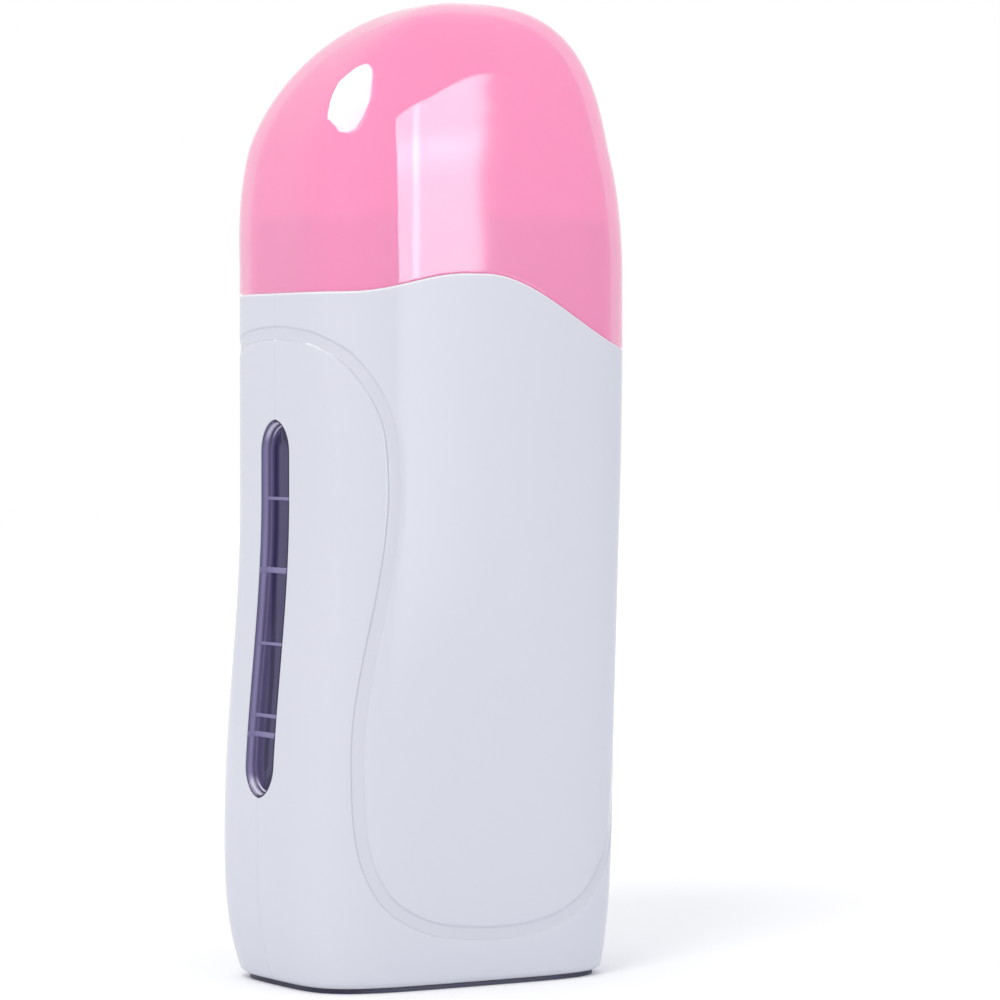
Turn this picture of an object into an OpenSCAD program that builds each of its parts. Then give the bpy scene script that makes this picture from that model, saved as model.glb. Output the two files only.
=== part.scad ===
// Roll-on wax heater: upright two-shell casing, heated cartridge well and pull-off cap.
// Millimetres, +Z up. The origin is under the middle of the outline, on the standing face.
// +X runs across the wide faces, and the level window is in the narrow face at -X.

/* [Cartridge well] */
// Clear width of the well, across the wide faces
well_w = 54; // [50:1:58]
// Clear depth of the well
well_d = 35; // [32:1:38]
// Inner corner radius of the well
well_r = 12; // [9:0.5:14]
// Height of the well
well_h = 116; // [112:1:122]
// Wall of the aluminium well
well_wall = 1.2; // [1:0.1:1.6]
// Width of the rim that is turned out at the top of the well
well_rim = 1.8; // [1.4:0.1:2.2]
// Width of the slot in the well behind the level window
well_slot_w = 9; // [7:0.5:10]

/* [Casing] */
// Wall of the two casing shells
casing_wall = 2.2; // [1.8:0.1:2.6]
// Free gap between the casing and the heater channels, front and rear
gap_y = 1.6; // [1.4:0.1:2.4]
// Free gap between the casing and the sensor channel, at the end
gap_x = 2; // [1.8:0.1:3]
// Squareness of the horizontal outline, where 2 is an ellipse
square_n = 4.4; // [4:0.1:5.5]
// How far the window side swells outwards
bulge = 4.2; // [3:0.2:6]
// Height at which the swelling is widest
bulge_z = 31; // [26:1:36]
// Height at which the swelling ends
bulge_top = 101; // [90:1:110]
// How far the far narrow side leans in towards the bottom
lean_x = 3; // [1:0.2:3.6]
// How far each wide side leans in towards the bottom
lean_y = 1.3; // [0.4:0.1:1.3]
// Height over which the bottom end tucks in
tuck_h = 30; // [24:1:34]
// Tuck of the window side at the bottom
tuck_l = 3.6; // [3:0.1:5]
// Tuck of the far narrow side at the bottom
tuck_r = 1.2; // [0.8:0.1:3]
// Tuck of each wide side at the bottom
tuck_y = 1.8; // [1.4:0.1:3]

/* [Base] */
// Height of the dark base that stands out under the casing
foot_h = 1; // [0.6:0.1:2]
// Inset of the base's lip under the casing's lower edge
foot_in = 1.4; // [1.2:0.1:1.8]
// Thickness of the base cover
base_t = 3; // [2.6:0.1:4]
// Height of the electrics bay between the base cover and the cradle
bay_h = 28; // [27:1:32]
// Distance between the base screws across the wide faces
screw_span_x = 48; // [44:1:50]
// Distance between the base screws from front to rear
screw_span_y = 29; // [28:0.5:30]
// Distance between the two cradle legs
leg_span = 44; // [42:1:47]
// Radius of a screw's shank
screw_r = 1.4; // [1.2:0.05:1.6]
// Length of a screw
screw_l = 12; // [9:0.5:14]

/* [Neck and cap] */
// Height of the collar's top above the well's rim
collar_up = 9; // [7:0.5:12]
// Height of the collar's skirt
collar_h = 35; // [32:1:38]
// Wall of the collar
collar_wall = 1.8; // [1.4:0.1:2]
// How far the cap's edge at the window side is below the collar's top
cap_overlap = 16; // [13:0.5:18]
// How far the joint line rises on the wide faces
line_rise = 3.9; // [2:0.1:6]
// How far the joint line falls towards the far narrow side
line_drop = 15.5; // [10:0.5:16]
// Wall of the cap
cap_wall = 2; // [1.4:0.1:2.2]
// Gap between the cap and the casing along the joint line
cap_gap = 0.3; // [0.2:0.05:0.6]
// Height of the cap's dome above the collar's top
cap_room = 45.5; // [42:0.5:52]
// How far the crown of the dome is shifted away from the window side
crown_x = 7.2; // [2:0.2:9]
// Fullness of the dome, where 2 is round
dome_n = 2.38; // [2.25:0.01:2.8]
// How far the shoulders of the dome lean back towards the window side
shoulder_x = 0.6; // [0:0.1:1]

/* [Level window] */
// Width of the window slot
window_w = 12.2; // [10:0.2:13]
// Length of the window slot
window_l = 78; // [66:1:80]
// Height of the slot's lower end above the well's floor
window_up = 5; // [4.5:0.5:8]
// Radius of the arcs that close the slot's ends
window_arc = 6.8; // [6.6:0.1:10]
// Depth of the lens under the casing's surface
lens_sink = 0.7; // [0.4:0.1:1]
// Width of the lens's flange beyond the slot
lens_flange = 2.2; // [1.6:0.1:2.6]

/* [Heaters] */
// Width of a heater plate
heater_w = 28; // [22:1:28]
// Thickness of a heater plate
heater_t = 2.8; // [2.4:0.1:3.2]
// Length of a heater plate
heater_l = 60; // [52:1:62]
// Thickness of the leaf springs
spring_t = 0.5; // [0.3:0.05:0.6]
// Thickness of the lips of the channels
lip_t = 1; // [0.8:0.1:1.2]
// Width of the thermostat
sensor_w = 7.6; // [6.6:0.2:7.8]
// Thickness of the thermostat
sensor_t = 3.4; // [3:0.1:3.6]
// Length of the thermostat
sensor_l = 18; // [15:0.5:19]
// Length of the thermal fuse's sleeve
fuse_l = 14; // [11:0.5:14.5]

/* [Mains inlet and indicator] */
// Distance between the two inlet pins
pin_pitch = 8.6; // [8:0.1:9]
// Radius of an inlet pin
pin_r = 1.2; // [1:0.05:1.3]
// Width of the socket's mouth
socket_w = 14.6; // [14.2:0.1:15.4]
// Height of the socket's mouth
socket_h = 8.4; // [8:0.1:9]
// Depth of the socket
socket_d = 11; // [10:0.5:12]
// Place of the inlet across the rear face
inlet_x = 10; // [9:0.5:11]
// Height of the inlet's middle
inlet_z = 19; // [18.5:0.5:20]
// Place of the indicator across the rear face
lamp_x = -11; // [-12:0.5:-10]
// Radius of the indicator lens
lamp_r = 2; // [1.6:0.1:2.4]
// Radius of the insulated wires
wire_r = 0.8; // [0.6:0.05:0.85]

/* [Hidden] */

// Clearances: a sliding fit, a seat, a screw in its hole
slip = 0.1;
seat = 0.2;
drill = 0.05;
// Overshoot of a cut, so that no skin is left
cut = 1;
// Overlap of shapes that are joined into one solid
bite = 0.4;

// Heights
base_top = base_t;
floor_t = 3;
cradle_z = base_top + bay_h;
well_z = cradle_z + floor_t;
well_top = well_z + well_h;
collar_top = well_top + collar_up;
collar_z = collar_top - collar_h;
line_z = collar_top - cap_overlap;
cap_top = collar_top + cap_room;
dome_z = collar_top - 10;
crown_z = collar_top + 14;
lean_top = well_top - 19;

// Channels on the well
channel_d = heater_t + spring_t + 2 * slip + lip_t;
pocket_d = sensor_t + spring_t + 2 * slip + lip_t;
rail_t = 1.3;

// Neck outline, worked out from the well outwards
neck_a = well_w / 2 + well_wall + pocket_d + gap_x + casing_wall;
neck_b = well_d / 2 + well_wall + channel_d + gap_y + casing_wall;
neck_x = bulge / 2;
well_a = well_w / 2 + well_wall;
well_b = well_d / 2 + well_wall;

// Casing outline at a height
tuck_n = 3;
lean_n = 1.3;
edge_r = 1.4;
function share(v, a, b) = min(1, max(0, (v - a) / (b - a)));
function ease(v) = (1 - cos(180 * v)) / 2;
function tuck(z) = pow(1 - share(z, foot_h, foot_h + tuck_h), tuck_n);
function lean(z) = pow(1 - share(z, foot_h, lean_top), lean_n);
function swell(z) = bulge * (1 - ease(share(z, bulge_z, bulge_top)));
function edge_in(z) = z - foot_h < edge_r
    ? edge_r - sqrt(max(0, edge_r * edge_r - pow(edge_r - z + foot_h, 2))) : 0;
function side_l(z) = neck_x - neck_a - swell(z) + tuck_l * tuck(z);
function side_r(z) = neck_x + neck_a - lean_x * lean(z) - tuck_r * tuck(z);
function side_y(z) = neck_b - lean_y * lean(z) - tuck_y * tuck(z);
function side_a(z) = (side_r(z) - side_l(z)) / 2;
function side_x(z) = (side_r(z) + side_l(z)) / 2;

// Point of the rounded outline with half sizes a and b, at the polar angle t
function oval_r(t) = pow(pow(abs(cos(t)), square_n) + pow(abs(sin(t)), square_n), -1 / square_n);
function oval(a, b, t) = [a * oval_r(t) * cos(t), b * oval_r(t) * sin(t)];
function casing_at(t, z, inset) =
    let (i = max(inset, edge_in(z)), p = oval(side_a(z) - i, side_y(z) - i, t))
    [side_x(z) + p[0], p[1], z];
// Place of the window side's wall and of the rear wall, at a height and a distance
function flat_part(v, half) = pow(1 - pow(min(1, abs(v) / half), square_n), 1 / square_n);
function window_x(y, z, inset) =
    side_x(z) - (side_a(z) - inset) * flat_part(y, side_y(z) - inset);
function rear_y(x, z, inset) =
    (side_y(z) - inset) * flat_part(x - side_x(z), side_a(z) - inset);

// Joint line between casing and cap, by the place across the wide face
function line_at(x) = line_z
    + line_rise * ease(share(x - neck_x, -34, -7))
    - line_drop * ease(share(x - neck_x, -3, neck_a + 1));
function line_t(t) = line_at(neck_x + neck_a * oval_r(t) * cos(t));

// Dome of the cap: v runs from 0 at its foot to 1 at the crown
function crown_at(z) = crown_x * pow(share(z, crown_z, cap_top), 1.4)
    - shoulder_x * sin(180 * share(z, dome_z, cap_top));
function dome_pt(t, v, inset) =
    let (up = pow(sin(90 * v), 2 / dome_n), s = pow(max(0, cos(90 * v)), 2 / dome_n))
    let (z = dome_z + (cap_top - inset - dome_z) * up)
    let (p = oval((neck_a - inset) * s, (neck_b - inset) * s, t))
    [neck_x + crown_at(z) + p[0], p[1], z];

// Closed solid between two grids of points with the same rows and columns
module skin(outer, inner, wrap = false) {
    rows = len(outer);
    cols = len(outer[0]);
    n = rows * cols;
    last = wrap ? cols - 1 : cols - 2;
    pts = concat([for (r = outer) for (p = r) p], [for (r = inner) for (p = r) p]);
    quads = concat(
        [for (i = [0:rows - 2]) for (j = [0:last])
            let (k = (j + 1) % cols)
            [i * cols + j, (i + 1) * cols + j, (i + 1) * cols + k, i * cols + k]],
        [for (i = [0:rows - 2]) for (j = [0:last])
            let (k = (j + 1) % cols)
            [n + i * cols + k, n + (i + 1) * cols + k, n + (i + 1) * cols + j, n + i * cols + j]],
        [for (j = [0:last]) let (k = (j + 1) % cols) [j, k, n + k, n + j]],
        [for (j = [0:last]) let (k = (j + 1) % cols, m = (rows - 1) * cols)
            [n + m + j, n + m + k, m + k, m + j]],
        wrap ? [] : [for (i = [0:rows - 2])
            [(i + 1) * cols, i * cols, n + i * cols, n + (i + 1) * cols]],
        wrap ? [] : [for (i = [0:rows - 2]) let (a = i * cols + cols - 1, b = a + cols)
            [a, b, n + b, n + a]]);
    polyhedron(pts, [for (q = quads) each [[q[0], q[1], q[2]], [q[0], q[2], q[3]]]], convexity = 8);
}

// Round tube along a smooth path whose ends run straight; side is never along the path
function spline(p, i, u) =
    let (a = p[max(0, i - 1)], b = p[i], c = p[i + 1], d = p[min(len(p) - 1, i + 2)])
    0.5 * (2 * b + (c - a) * u + (2 * a - 5 * b + 4 * c - d) * u * u
        + (3 * b - a - 3 * c + d) * u * u * u);
function unit(v) = v / norm(v);
module wire(points, side) {
    steps = 3;
    sides = 8;
    m = len(points);
    p = concat([points[0], (points[0] + points[1]) / 2], [for (i = [1:1:m - 2]) points[i]],
        [(points[m - 2] + points[m - 1]) / 2, points[m - 1]]);
    path = concat([for (i = [0:len(p) - 2]) for (s = [0:steps - 1]) spline(p, i, s / steps)],
        [p[len(p) - 1]]);
    n = len(path);
    rings = [for (i = [0:n - 1])
        let (t = unit(path[min(n - 1, i + 1)] - path[max(0, i - 1)]))
        let (u = unit(cross(t, side)), w = cross(t, u))
        for (k = [0:sides - 1]) path[i] + wire_r * (u * cos(360 * k / sides) + w * sin(360 * k / sides))];
    faces = concat(
        [for (i = [0:n - 2]) for (k = [0:sides - 1])
            let (a = i * sides + k, b = i * sides + (k + 1) % sides)
            each [[a, a + sides, b + sides], [a, b + sides, b]]],
        [for (k = [1:sides - 2]) [0, k, k + 1]],
        [for (k = [1:sides - 2]) let (m = (n - 1) * sides) [m, m + k + 1, m + k]]);
    polyhedron([for (r = rings) r], faces, convexity = 6);
}

// Flat shapes
module oval_plate(inset) {
    polygon([for (i = [0:2 * shell_cols - 1])
        oval(neck_a - inset, neck_b - inset, i * 180 / shell_cols)]);
}
module base_plate(inset) {
    polygon([for (i = [0:2 * shell_cols - 1])
        let (p = casing_at(i * 180 / shell_cols, foot_h, inset)) [p[0], p[1]]]);
}
module rounded(w, d, r) {
    square([w - 2 * r, d], center = true);
    square([w, d - 2 * r], center = true);
    for (x = [-1, 1], y = [-1, 1])
        translate([x * (w / 2 - r), y * (d / 2 - r)]) circle(r, $fn = 64);
}
module well_plan(grow) {
    rounded(well_w + 2 * grow, well_d + 2 * grow, well_r + grow);
}
module slot_plan(less) {
    r = window_arc - less;
    k = window_arc - window_w / 2;
    rise = sqrt(window_arc * window_arc - k * k);
    half = window_l / 2 - rise;
    square([window_w - 2 * less, 2 * half], center = true);
    for (m = [-1, 1]) translate([0, m * half]) intersection() {
        translate([-k, 0]) circle(r, $fn = 96);
        translate([k, 0]) circle(r, $fn = 96);
    }
}
// Slot shape pushed through the window side's wall
module slot_cut(less, x0, x1) {
    translate([x0, 0, well_z + window_up + window_l / 2]) rotate([90, 0, 90])
        linear_extrude(x1 - x0) slot_plan(less);
}

// Room for the flange of the window, which the ledge and the collar keep clear
module window_room() {
    half = window_w / 2 + lens_flange + slip;
    translate([side_l(bulge_z), -half, well_z])
        cube([neck_x - well_a - side_l(bulge_z), 2 * half, window_up + window_l + lens_flange + slip]);
}

// Casing shells
shell_rows = 22;
shell_cols = 36;
function shell_grid(from, inset) = [for (i = [0:shell_rows])
    [for (j = [0:shell_cols])
        let (t = from + 180 * j / shell_cols)
        let (z = foot_h + (line_t(t) - foot_h) * pow(i / shell_rows, 1.6))
        casing_at(t, z, inset)]];
boss_r = 3.2;
boss_z = base_top;
boss_top = base_top + screw_l;
rib_t = 2;
ledge_h = 2;
// Bosses with their ribs, and the ledge that carries the collar, for one half
module shell_fittings(m) {
    for (x = [-1, 1]) translate([x * screw_span_x / 2, m * screw_span_y / 2, 0]) {
        translate([0, 0, boss_z]) cylinder(h = boss_top - boss_z, r = boss_r, $fn = 48);
        translate([-rib_t / 2, m > 0 ? 0 : -neck_b, boss_z + ledge_h])
            cube([rib_t, neck_b, boss_top - boss_z - ledge_h]);
    }
    difference() {
        translate([neck_x, 0, collar_z - ledge_h]) linear_extrude(ledge_h) difference() {
            oval_plate(0);
            oval_plate(casing_wall + collar_wall);
        }
        window_room();
    }
}
// Space of one half, out to the middle of its wall, which trims the fittings
module shell_core(m) {
    grid = shell_grid(m > 0 ? 0 : 180, casing_wall / 2);
    intersection() {
        skin(grid, [for (r = grid) [for (p = r) [p[0], -m * cut, p[2]]]]);
        translate([-neck_a - bulge, m > 0 ? 0 : -neck_b, 0])
            cube([2 * (neck_a + bulge), neck_b, cap_top]);
    }
}
module shell_half(m) {
    from = m > 0 ? 0 : 180;
    difference() {
        union() {
            skin(shell_grid(from, 0), shell_grid(from, casing_wall));
            intersection() {
                shell_fittings(m);
                shell_core(m);
            }
        }
        for (x = [-1, 1]) translate([x * screw_span_x / 2, m * screw_span_y / 2, boss_z - cut])
            cylinder(h = boss_top - boss_z, r = screw_r + drill, $fn = 48);
        slot_cut(0, side_l(bulge_z) - cut, neck_x - well_a - cut);
    }
}
module front_shell() {
    color("gainsboro") shell_half(-1);
}
module rear_shell() {
    color("gainsboro") difference() {
        shell_half(1);
        translate([inlet_x, 0, inlet_z]) rotate([-90, 0, 0]) linear_extrude(neck_b + cut)
            inlet_plan(boss_wall + seat);
        translate([lamp_x, 0, inlet_z]) rotate([-90, 0, 0])
            cylinder(h = neck_b + cut, r = lamp_r + slip, $fn = 48);
    }
}

// Collar that the cap slides over, with the throat that holds the rim of the well
collar_in = max(casing_wall, cap_wall) + 2 * seat + shoulder_x;
rim_t = 1;
module neck_collar() {
    deck_t = 2.4;
    shelf_t = 2;
    shelf_z = well_top - rim_t - seat - shelf_t;
    color("lavender") difference() {
        union() {
            translate([0, 0, collar_z]) linear_extrude(collar_h) translate([neck_x, 0]) difference() {
                oval_plate(collar_in);
                oval_plate(collar_in + collar_wall);
            }
            translate([0, 0, collar_z]) linear_extrude(ledge_h + 1) translate([neck_x, 0]) difference() {
                oval_plate(casing_wall + slip);
                oval_plate(collar_in + collar_wall);
            }
            translate([0, 0, collar_top - deck_t]) linear_extrude(deck_t) translate([neck_x, 0])
                oval_plate(collar_in);
            translate([neck_x, 0, shelf_z]) linear_extrude(collar_top - shelf_z - cut)
                well_plan(well_wall + well_rim + seat + collar_wall - 0.4);
        }
        translate([neck_x, 0, shelf_z - cut]) linear_extrude(collar_top) well_plan(well_wall + seat);
        translate([neck_x, 0, shelf_z + shelf_t]) linear_extrude(collar_top)
            well_plan(well_wall + well_rim + seat);
        window_room();
    }
}

// Cap: straight skirt above the joint line, then the dome
cap_cols = 60;
skirt_rows = 5;
dome_rows = 13;
function cap_grid(inset) = concat(
    [for (i = [0:skirt_rows]) [for (j = [0:cap_cols - 1])
        let (t = j * 360 / cap_cols)
        let (p = oval(neck_a - inset, neck_b - inset, t))
        let (low = line_t(t) + cap_gap)
        [neck_x + p[0], p[1], low + (dome_z - low) * i / skirt_rows]]],
    [for (i = [1:dome_rows]) [for (j = [0:cap_cols - 1])
        dome_pt(j * 360 / cap_cols, i / (dome_rows + 0.35), inset)]]);
module cap() {
    outer = cap_grid(0);
    inner = cap_grid(cap_wall);
    rows = len(outer);
    n = rows * cap_cols;
    pts = concat([for (r = outer) for (p = r) p], [for (r = inner) for (p = r) p],
        [[neck_x + crown_x, 0, cap_top], [neck_x + crown_x, 0, cap_top - cap_wall]]);
    last = (rows - 1) * cap_cols;
    quads = concat(
        [for (i = [0:rows - 2]) for (j = [0:cap_cols - 1])
            let (k = (j + 1) % cap_cols, a = i * cap_cols)
            [a + j, a + cap_cols + j, a + cap_cols + k, a + k]],
        [for (i = [0:rows - 2]) for (j = [0:cap_cols - 1])
            let (k = (j + 1) % cap_cols, a = n + i * cap_cols)
            [a + k, a + cap_cols + k, a + cap_cols + j, a + j]],
        [for (j = [0:cap_cols - 1]) let (k = (j + 1) % cap_cols) [j, k, n + k, n + j]]);
    fans = [for (j = [0:cap_cols - 1]) let (k = (j + 1) % cap_cols)
        each [[last + j, 2 * n, last + k], [n + last + k, 2 * n + 1, n + last + j]]];
    color("hotpink", 0.8) polyhedron(pts, concat(
        [for (q = quads) each [[q[0], q[1], q[2]], [q[0], q[2], q[3]]]], fans), convexity = 6);
}

// Clear window with a flange inside the casing and raised level marks
window_z = well_z + window_up;
function window_grid(half, z0, z1, inset) = [for (i = [0:14])
    let (z = z0 + (z1 - z0) * i / 14)
    [for (j = [0:4]) let (y = half * (1 - j / 2)) [window_x(y, z, inset), y, z]]];
module window_slab(half, z0, z1, out, in) {
    skin(window_grid(half, z0, z1, out), window_grid(half, z0, z1, in));
}
// Each mark: its height as a share of the window, its length and its width
marks = [[0.79, 0.75, 0.9], [0.6, 0.95, 1.3], [0.405, 0.87, 0.9], [0.215, 0.84, 0.9], [0.165, 0.95, 1.1]];
module level_window() {
    flange_in = casing_wall + slip;
    w = window_w / 2;
    color("slategray", 0.5) {
        intersection() {
            window_slab(w, window_z - 1, window_z + window_l + 1, lens_sink, flange_in + bite);
            slot_cut(slip, side_l(bulge_z) - cut, neck_x - well_a - cut);
        }
        window_slab(w + lens_flange, window_z - lens_flange, window_z + window_l + lens_flange,
            flange_in, flange_in + 1.2);
        for (q = marks) window_slab(w * q[1], window_z + window_l * q[0] - q[2] / 2,
            window_z + window_l * q[0] + q[2] / 2, lens_sink - 0.3, lens_sink + bite);
    }
}

// Countersunk screw that points up, with a cross recess in its head
head_z = 0.3;
head_r = 2 * screw_r;
recess_t = 0.7;
module screw() {
    translate([0, 0, head_z]) difference() {
        union() {
            cylinder(h = screw_r, r1 = head_r, r2 = screw_r, $fn = 48);
            cylinder(h = screw_l, r = screw_r, $fn = 48);
        }
        for (a = [0, 90]) rotate(a) translate([-head_r * 0.6, -recess_t / 2, -cut])
            cube([head_r * 1.2, recess_t, cut + screw_r * 0.6]);
    }
}
module screw_hole() {
    translate([0, 0, -cut]) cylinder(h = base_t + 2 * cut, r = screw_r + slip, $fn = 48);
    translate([0, 0, head_z]) cylinder(h = screw_r, r1 = head_r + slip, r2 = screw_r + slip, $fn = 48);
    translate([0, 0, -cut]) cylinder(h = cut + head_z, r = head_r + slip, $fn = 48);
}
module at_base_screws() {
    for (x = [-1, 1], y = [-1, 1])
        translate([x * screw_span_x / 2, y * screw_span_y / 2, 0]) children();
}
module at_legs() {
    for (x = [-1, 1]) translate([neck_x + x * leg_span / 2, 0, 0]) children();
}
module base_screws() {
    color("silver") at_base_screws() screw();
}
module cradle_screws() {
    color("silver") at_legs() screw();
}

// Base cover, with the stand for the indicator board and the prop of the inlet
board_t = 1.6;
board_y = 14;
board_w = 14;
board_h = 18;
board_z = base_top + 3;
stand_t = 4;
module base_cover() {
    color("darkslategray") difference() {
        union() {
            linear_extrude(base_t) base_plate(casing_wall + seat);
            linear_extrude(foot_h - slip) base_plate(foot_in);
            translate([lamp_x - board_w / 2, board_y + board_t / 2 - stand_t / 2, base_top - bite])
                cube([board_w, stand_t, 6 + bite]);
            translate([inlet_x - 6, inlet_back + 1, base_top - bite])
                cube([12, stand_t - 1, inlet_z - body_h / 2 - base_top + bite - slip]);
        }
        at_base_screws() screw_hole();
        at_legs() screw_hole();
        translate([lamp_x - board_w, board_y - slip, board_z - slip])
            cube([board_w * 2, board_t + 2 * slip, board_h]);
    }
}

// Aluminium well: tube with a turned-out rim, heater channels and a sensor channel
rail_up = 12;
rail_gap = 5;
heater_up = 16;
fuse_gap = 1;
link_l = 3;
rail_z0 = well_z + rail_up;
rail_z1 = collar_z - rail_gap;
heater_z = well_z + heater_up;
pocket_z0 = rail_z1 - sensor_l - link_l - fuse_l - rail_gap;
module channel(half, depth) {
    for (m = [-1, 1]) translate([m > 0 ? half + slip : -half - slip - rail_t, -bite])
        square([rail_t, depth + bite]);
    for (m = [-1, 1]) translate([m > 0 ? half + slip - 1.6 : -half - slip - bite, depth - lip_t])
        square([1.6 + bite, lip_t]);
}
module heating_well() {
    color("silver") difference() {
        translate([neck_x, 0, 0]) {
            translate([0, 0, well_z]) linear_extrude(well_h) difference() {
                well_plan(well_wall);
                well_plan(0);
            }
            translate([0, 0, well_top - rim_t]) linear_extrude(rim_t) difference() {
                well_plan(well_wall + well_rim);
                well_plan(0);
            }
            translate([0, 0, rail_z0]) linear_extrude(rail_z1 - rail_z0) for (a = [0, 180])
                rotate(a) translate([0, well_b]) channel(heater_w / 2, channel_d);
            translate([0, 0, pocket_z0]) linear_extrude(rail_z1 - pocket_z0)
                rotate(-90) translate([0, well_a]) channel(sensor_w / 2, pocket_d);
        }
        translate([neck_x - well_a - cut, -well_slot_w / 2, window_z])
            cube([well_wall + 2 * cut, well_slot_w, window_l]);
    }
}

// Cradle under the well, on two legs
cradle_wall = 1.6;
cradle_rim = 5;
leg_r = 3.5;
module well_cradle() {
    color("dimgray") difference() {
        union() {
            translate([neck_x, 0, cradle_z]) linear_extrude(floor_t + cradle_rim)
                well_plan(well_wall + seat + cradle_wall);
            at_legs() translate([0, 0, base_top]) cylinder(h = bay_h + bite, r = leg_r, $fn = 48);
        }
        translate([neck_x, 0, well_z]) linear_extrude(cradle_rim + cut) well_plan(well_wall + seat);
        at_legs() translate([0, 0, base_top - cut]) cylinder(h = screw_l, r = screw_r + drill, $fn = 48);
        translate([neck_x + well_a + 0.4, -3, cradle_z - cut])
            cube([cradle_wall + cut, 6, floor_t + cradle_rim + 2 * cut]);
    }
}

// Heater plates with two tabs each, and the leaf springs behind them
tab_w = 4;
tab_t = 0.8;
tab_l = 5;
tab_gap = heater_w - 3 * tab_w;
tab_y = well_b + slip + heater_t / 2;
module heater_plate() {
    translate([-heater_w / 2, well_b + slip, heater_z]) cube([heater_w, heater_t, heater_l]);
    for (m = [-1, 1]) translate([m * tab_gap / 2 - tab_w / 2, tab_y - tab_t / 2, heater_z - tab_l])
        cube([tab_w, tab_t, tab_l + bite]);
}
module leaf(w, l) {
    difference() {
        cube([w, spring_t, l]);
        for (z = [0.2, 0.6]) translate([w * 0.2, -cut, l * z]) cube([w * 0.6, spring_t + 2 * cut, l * 0.2]);
    }
}
module heater_spring() {
    translate([-heater_w / 2 + slip, well_b + heater_t + 1.5 * slip, heater_z + 2])
        leaf(heater_w - 2 * slip, heater_l - 4);
}
module heater_plate_front() {
    color("goldenrod") translate([neck_x, 0, 0]) mirror([0, 1, 0]) heater_plate();
}
module heater_plate_rear() {
    color("goldenrod") translate([neck_x, 0, 0]) heater_plate();
}
module heater_spring_front() {
    color("lightsteelblue") translate([neck_x, 0, 0]) mirror([0, 1, 0]) heater_spring();
}
module heater_spring_rear() {
    color("lightsteelblue") translate([neck_x, 0, 0]) heater_spring();
}

// Thermostat, thermal fuse and their spring, in the sensor channel
fuse_z = pocket_z0 + fuse_gap;
sensor_z = fuse_z + fuse_l + link_l;
sensor_x = neck_x + well_a + slip;
sensor_mid = sensor_x + sensor_t / 2;
terminal_r = 1.2;
terminal_l = 1.5;
module thermostat() {
    color("black") {
        translate([sensor_x, -sensor_w / 2, sensor_z]) cube([sensor_t, sensor_w, sensor_l]);
        for (z = [sensor_z - terminal_l, sensor_z + sensor_l - bite])
            translate([sensor_mid, 0, z]) cylinder(h = terminal_l + bite, r = terminal_r, $fn = 32);
    }
}
module thermostat_spring() {
    color("lightsteelblue")
        translate([sensor_x + sensor_t + slip / 2 + spring_t, slip - sensor_w / 2, sensor_z + 1])
        rotate(90) leaf(sensor_w - 2 * slip, sensor_l - 2);
}
fuse_r = 1.2;
sleeve_r = 1.65;
module thermal_fuse() {
    color("burlywood") translate([sensor_mid, 0, fuse_z]) {
        cylinder(h = fuse_l, r = 0.5, $fn = 32);
        translate([0, 0, 2]) cylinder(h = fuse_l - 4, r = fuse_r, $fn = 32);
    }
}
module fuse_sleeve() {
    color("linen") translate([sensor_mid, 0, fuse_z + 0.5]) difference() {
        cylinder(h = fuse_l - 1, r = sleeve_r, $fn = 48);
        translate([0, 0, -cut]) cylinder(h = fuse_l + 2 * cut, r = fuse_r + drill, $fn = 48);
    }
}

// Mains inlet in the rear face
boss_wall = 1.2;
back_t = 2.5;
inlet_face = side_y(inlet_z - socket_h / 2 - boss_wall) - 0.2;
inlet_back = inlet_face - socket_d - back_t;
body_h = socket_h + 2 * boss_wall + 1.2;
body_w = socket_w + 2 * boss_wall + 2;
module inlet_plan(grow) {
    rounded(socket_w + 2 * grow, socket_h + 2 * grow, socket_h / 2 + grow - 0.01);
}
module inlet_housing() {
    flange_y = rear_y(inlet_x + body_w / 2, inlet_z - body_h / 2, casing_wall) - seat;
    color("dimgray") difference() {
        union() {
            translate([inlet_x, inlet_back, inlet_z]) rotate([-90, 0, 0])
                linear_extrude(socket_d + back_t) inlet_plan(boss_wall);
            translate([inlet_x - body_w / 2, inlet_back, inlet_z - body_h / 2])
                cube([body_w, flange_y - inlet_back, body_h]);
        }
        translate([inlet_x, inlet_face - socket_d, inlet_z]) rotate([-90, 0, 0])
            linear_extrude(socket_d + cut) inlet_plan(0);
        for (m = [-1, 1]) translate([inlet_x + m * pin_pitch / 2, inlet_back - cut, inlet_z])
            rotate([-90, 0, 0]) cylinder(h = back_t + 2 * cut, r = pin_r + drill, $fn = 48);
    }
}
lug_l = 5;
lug_y = inlet_back - lug_l;
module inlet_pins() {
    color("silver") for (m = [-1, 1]) translate([inlet_x + m * pin_pitch / 2, 0, inlet_z]) {
        translate([0, inlet_back - 0.6, 0]) rotate([-90, 0, 0])
            cylinder(h = back_t + socket_d - 2, r = pin_r, $fn = 48);
        translate([-tab_t / 2, lug_y, -2]) cube([tab_t, lug_l - 0.2, 4]);
    }
}

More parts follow.
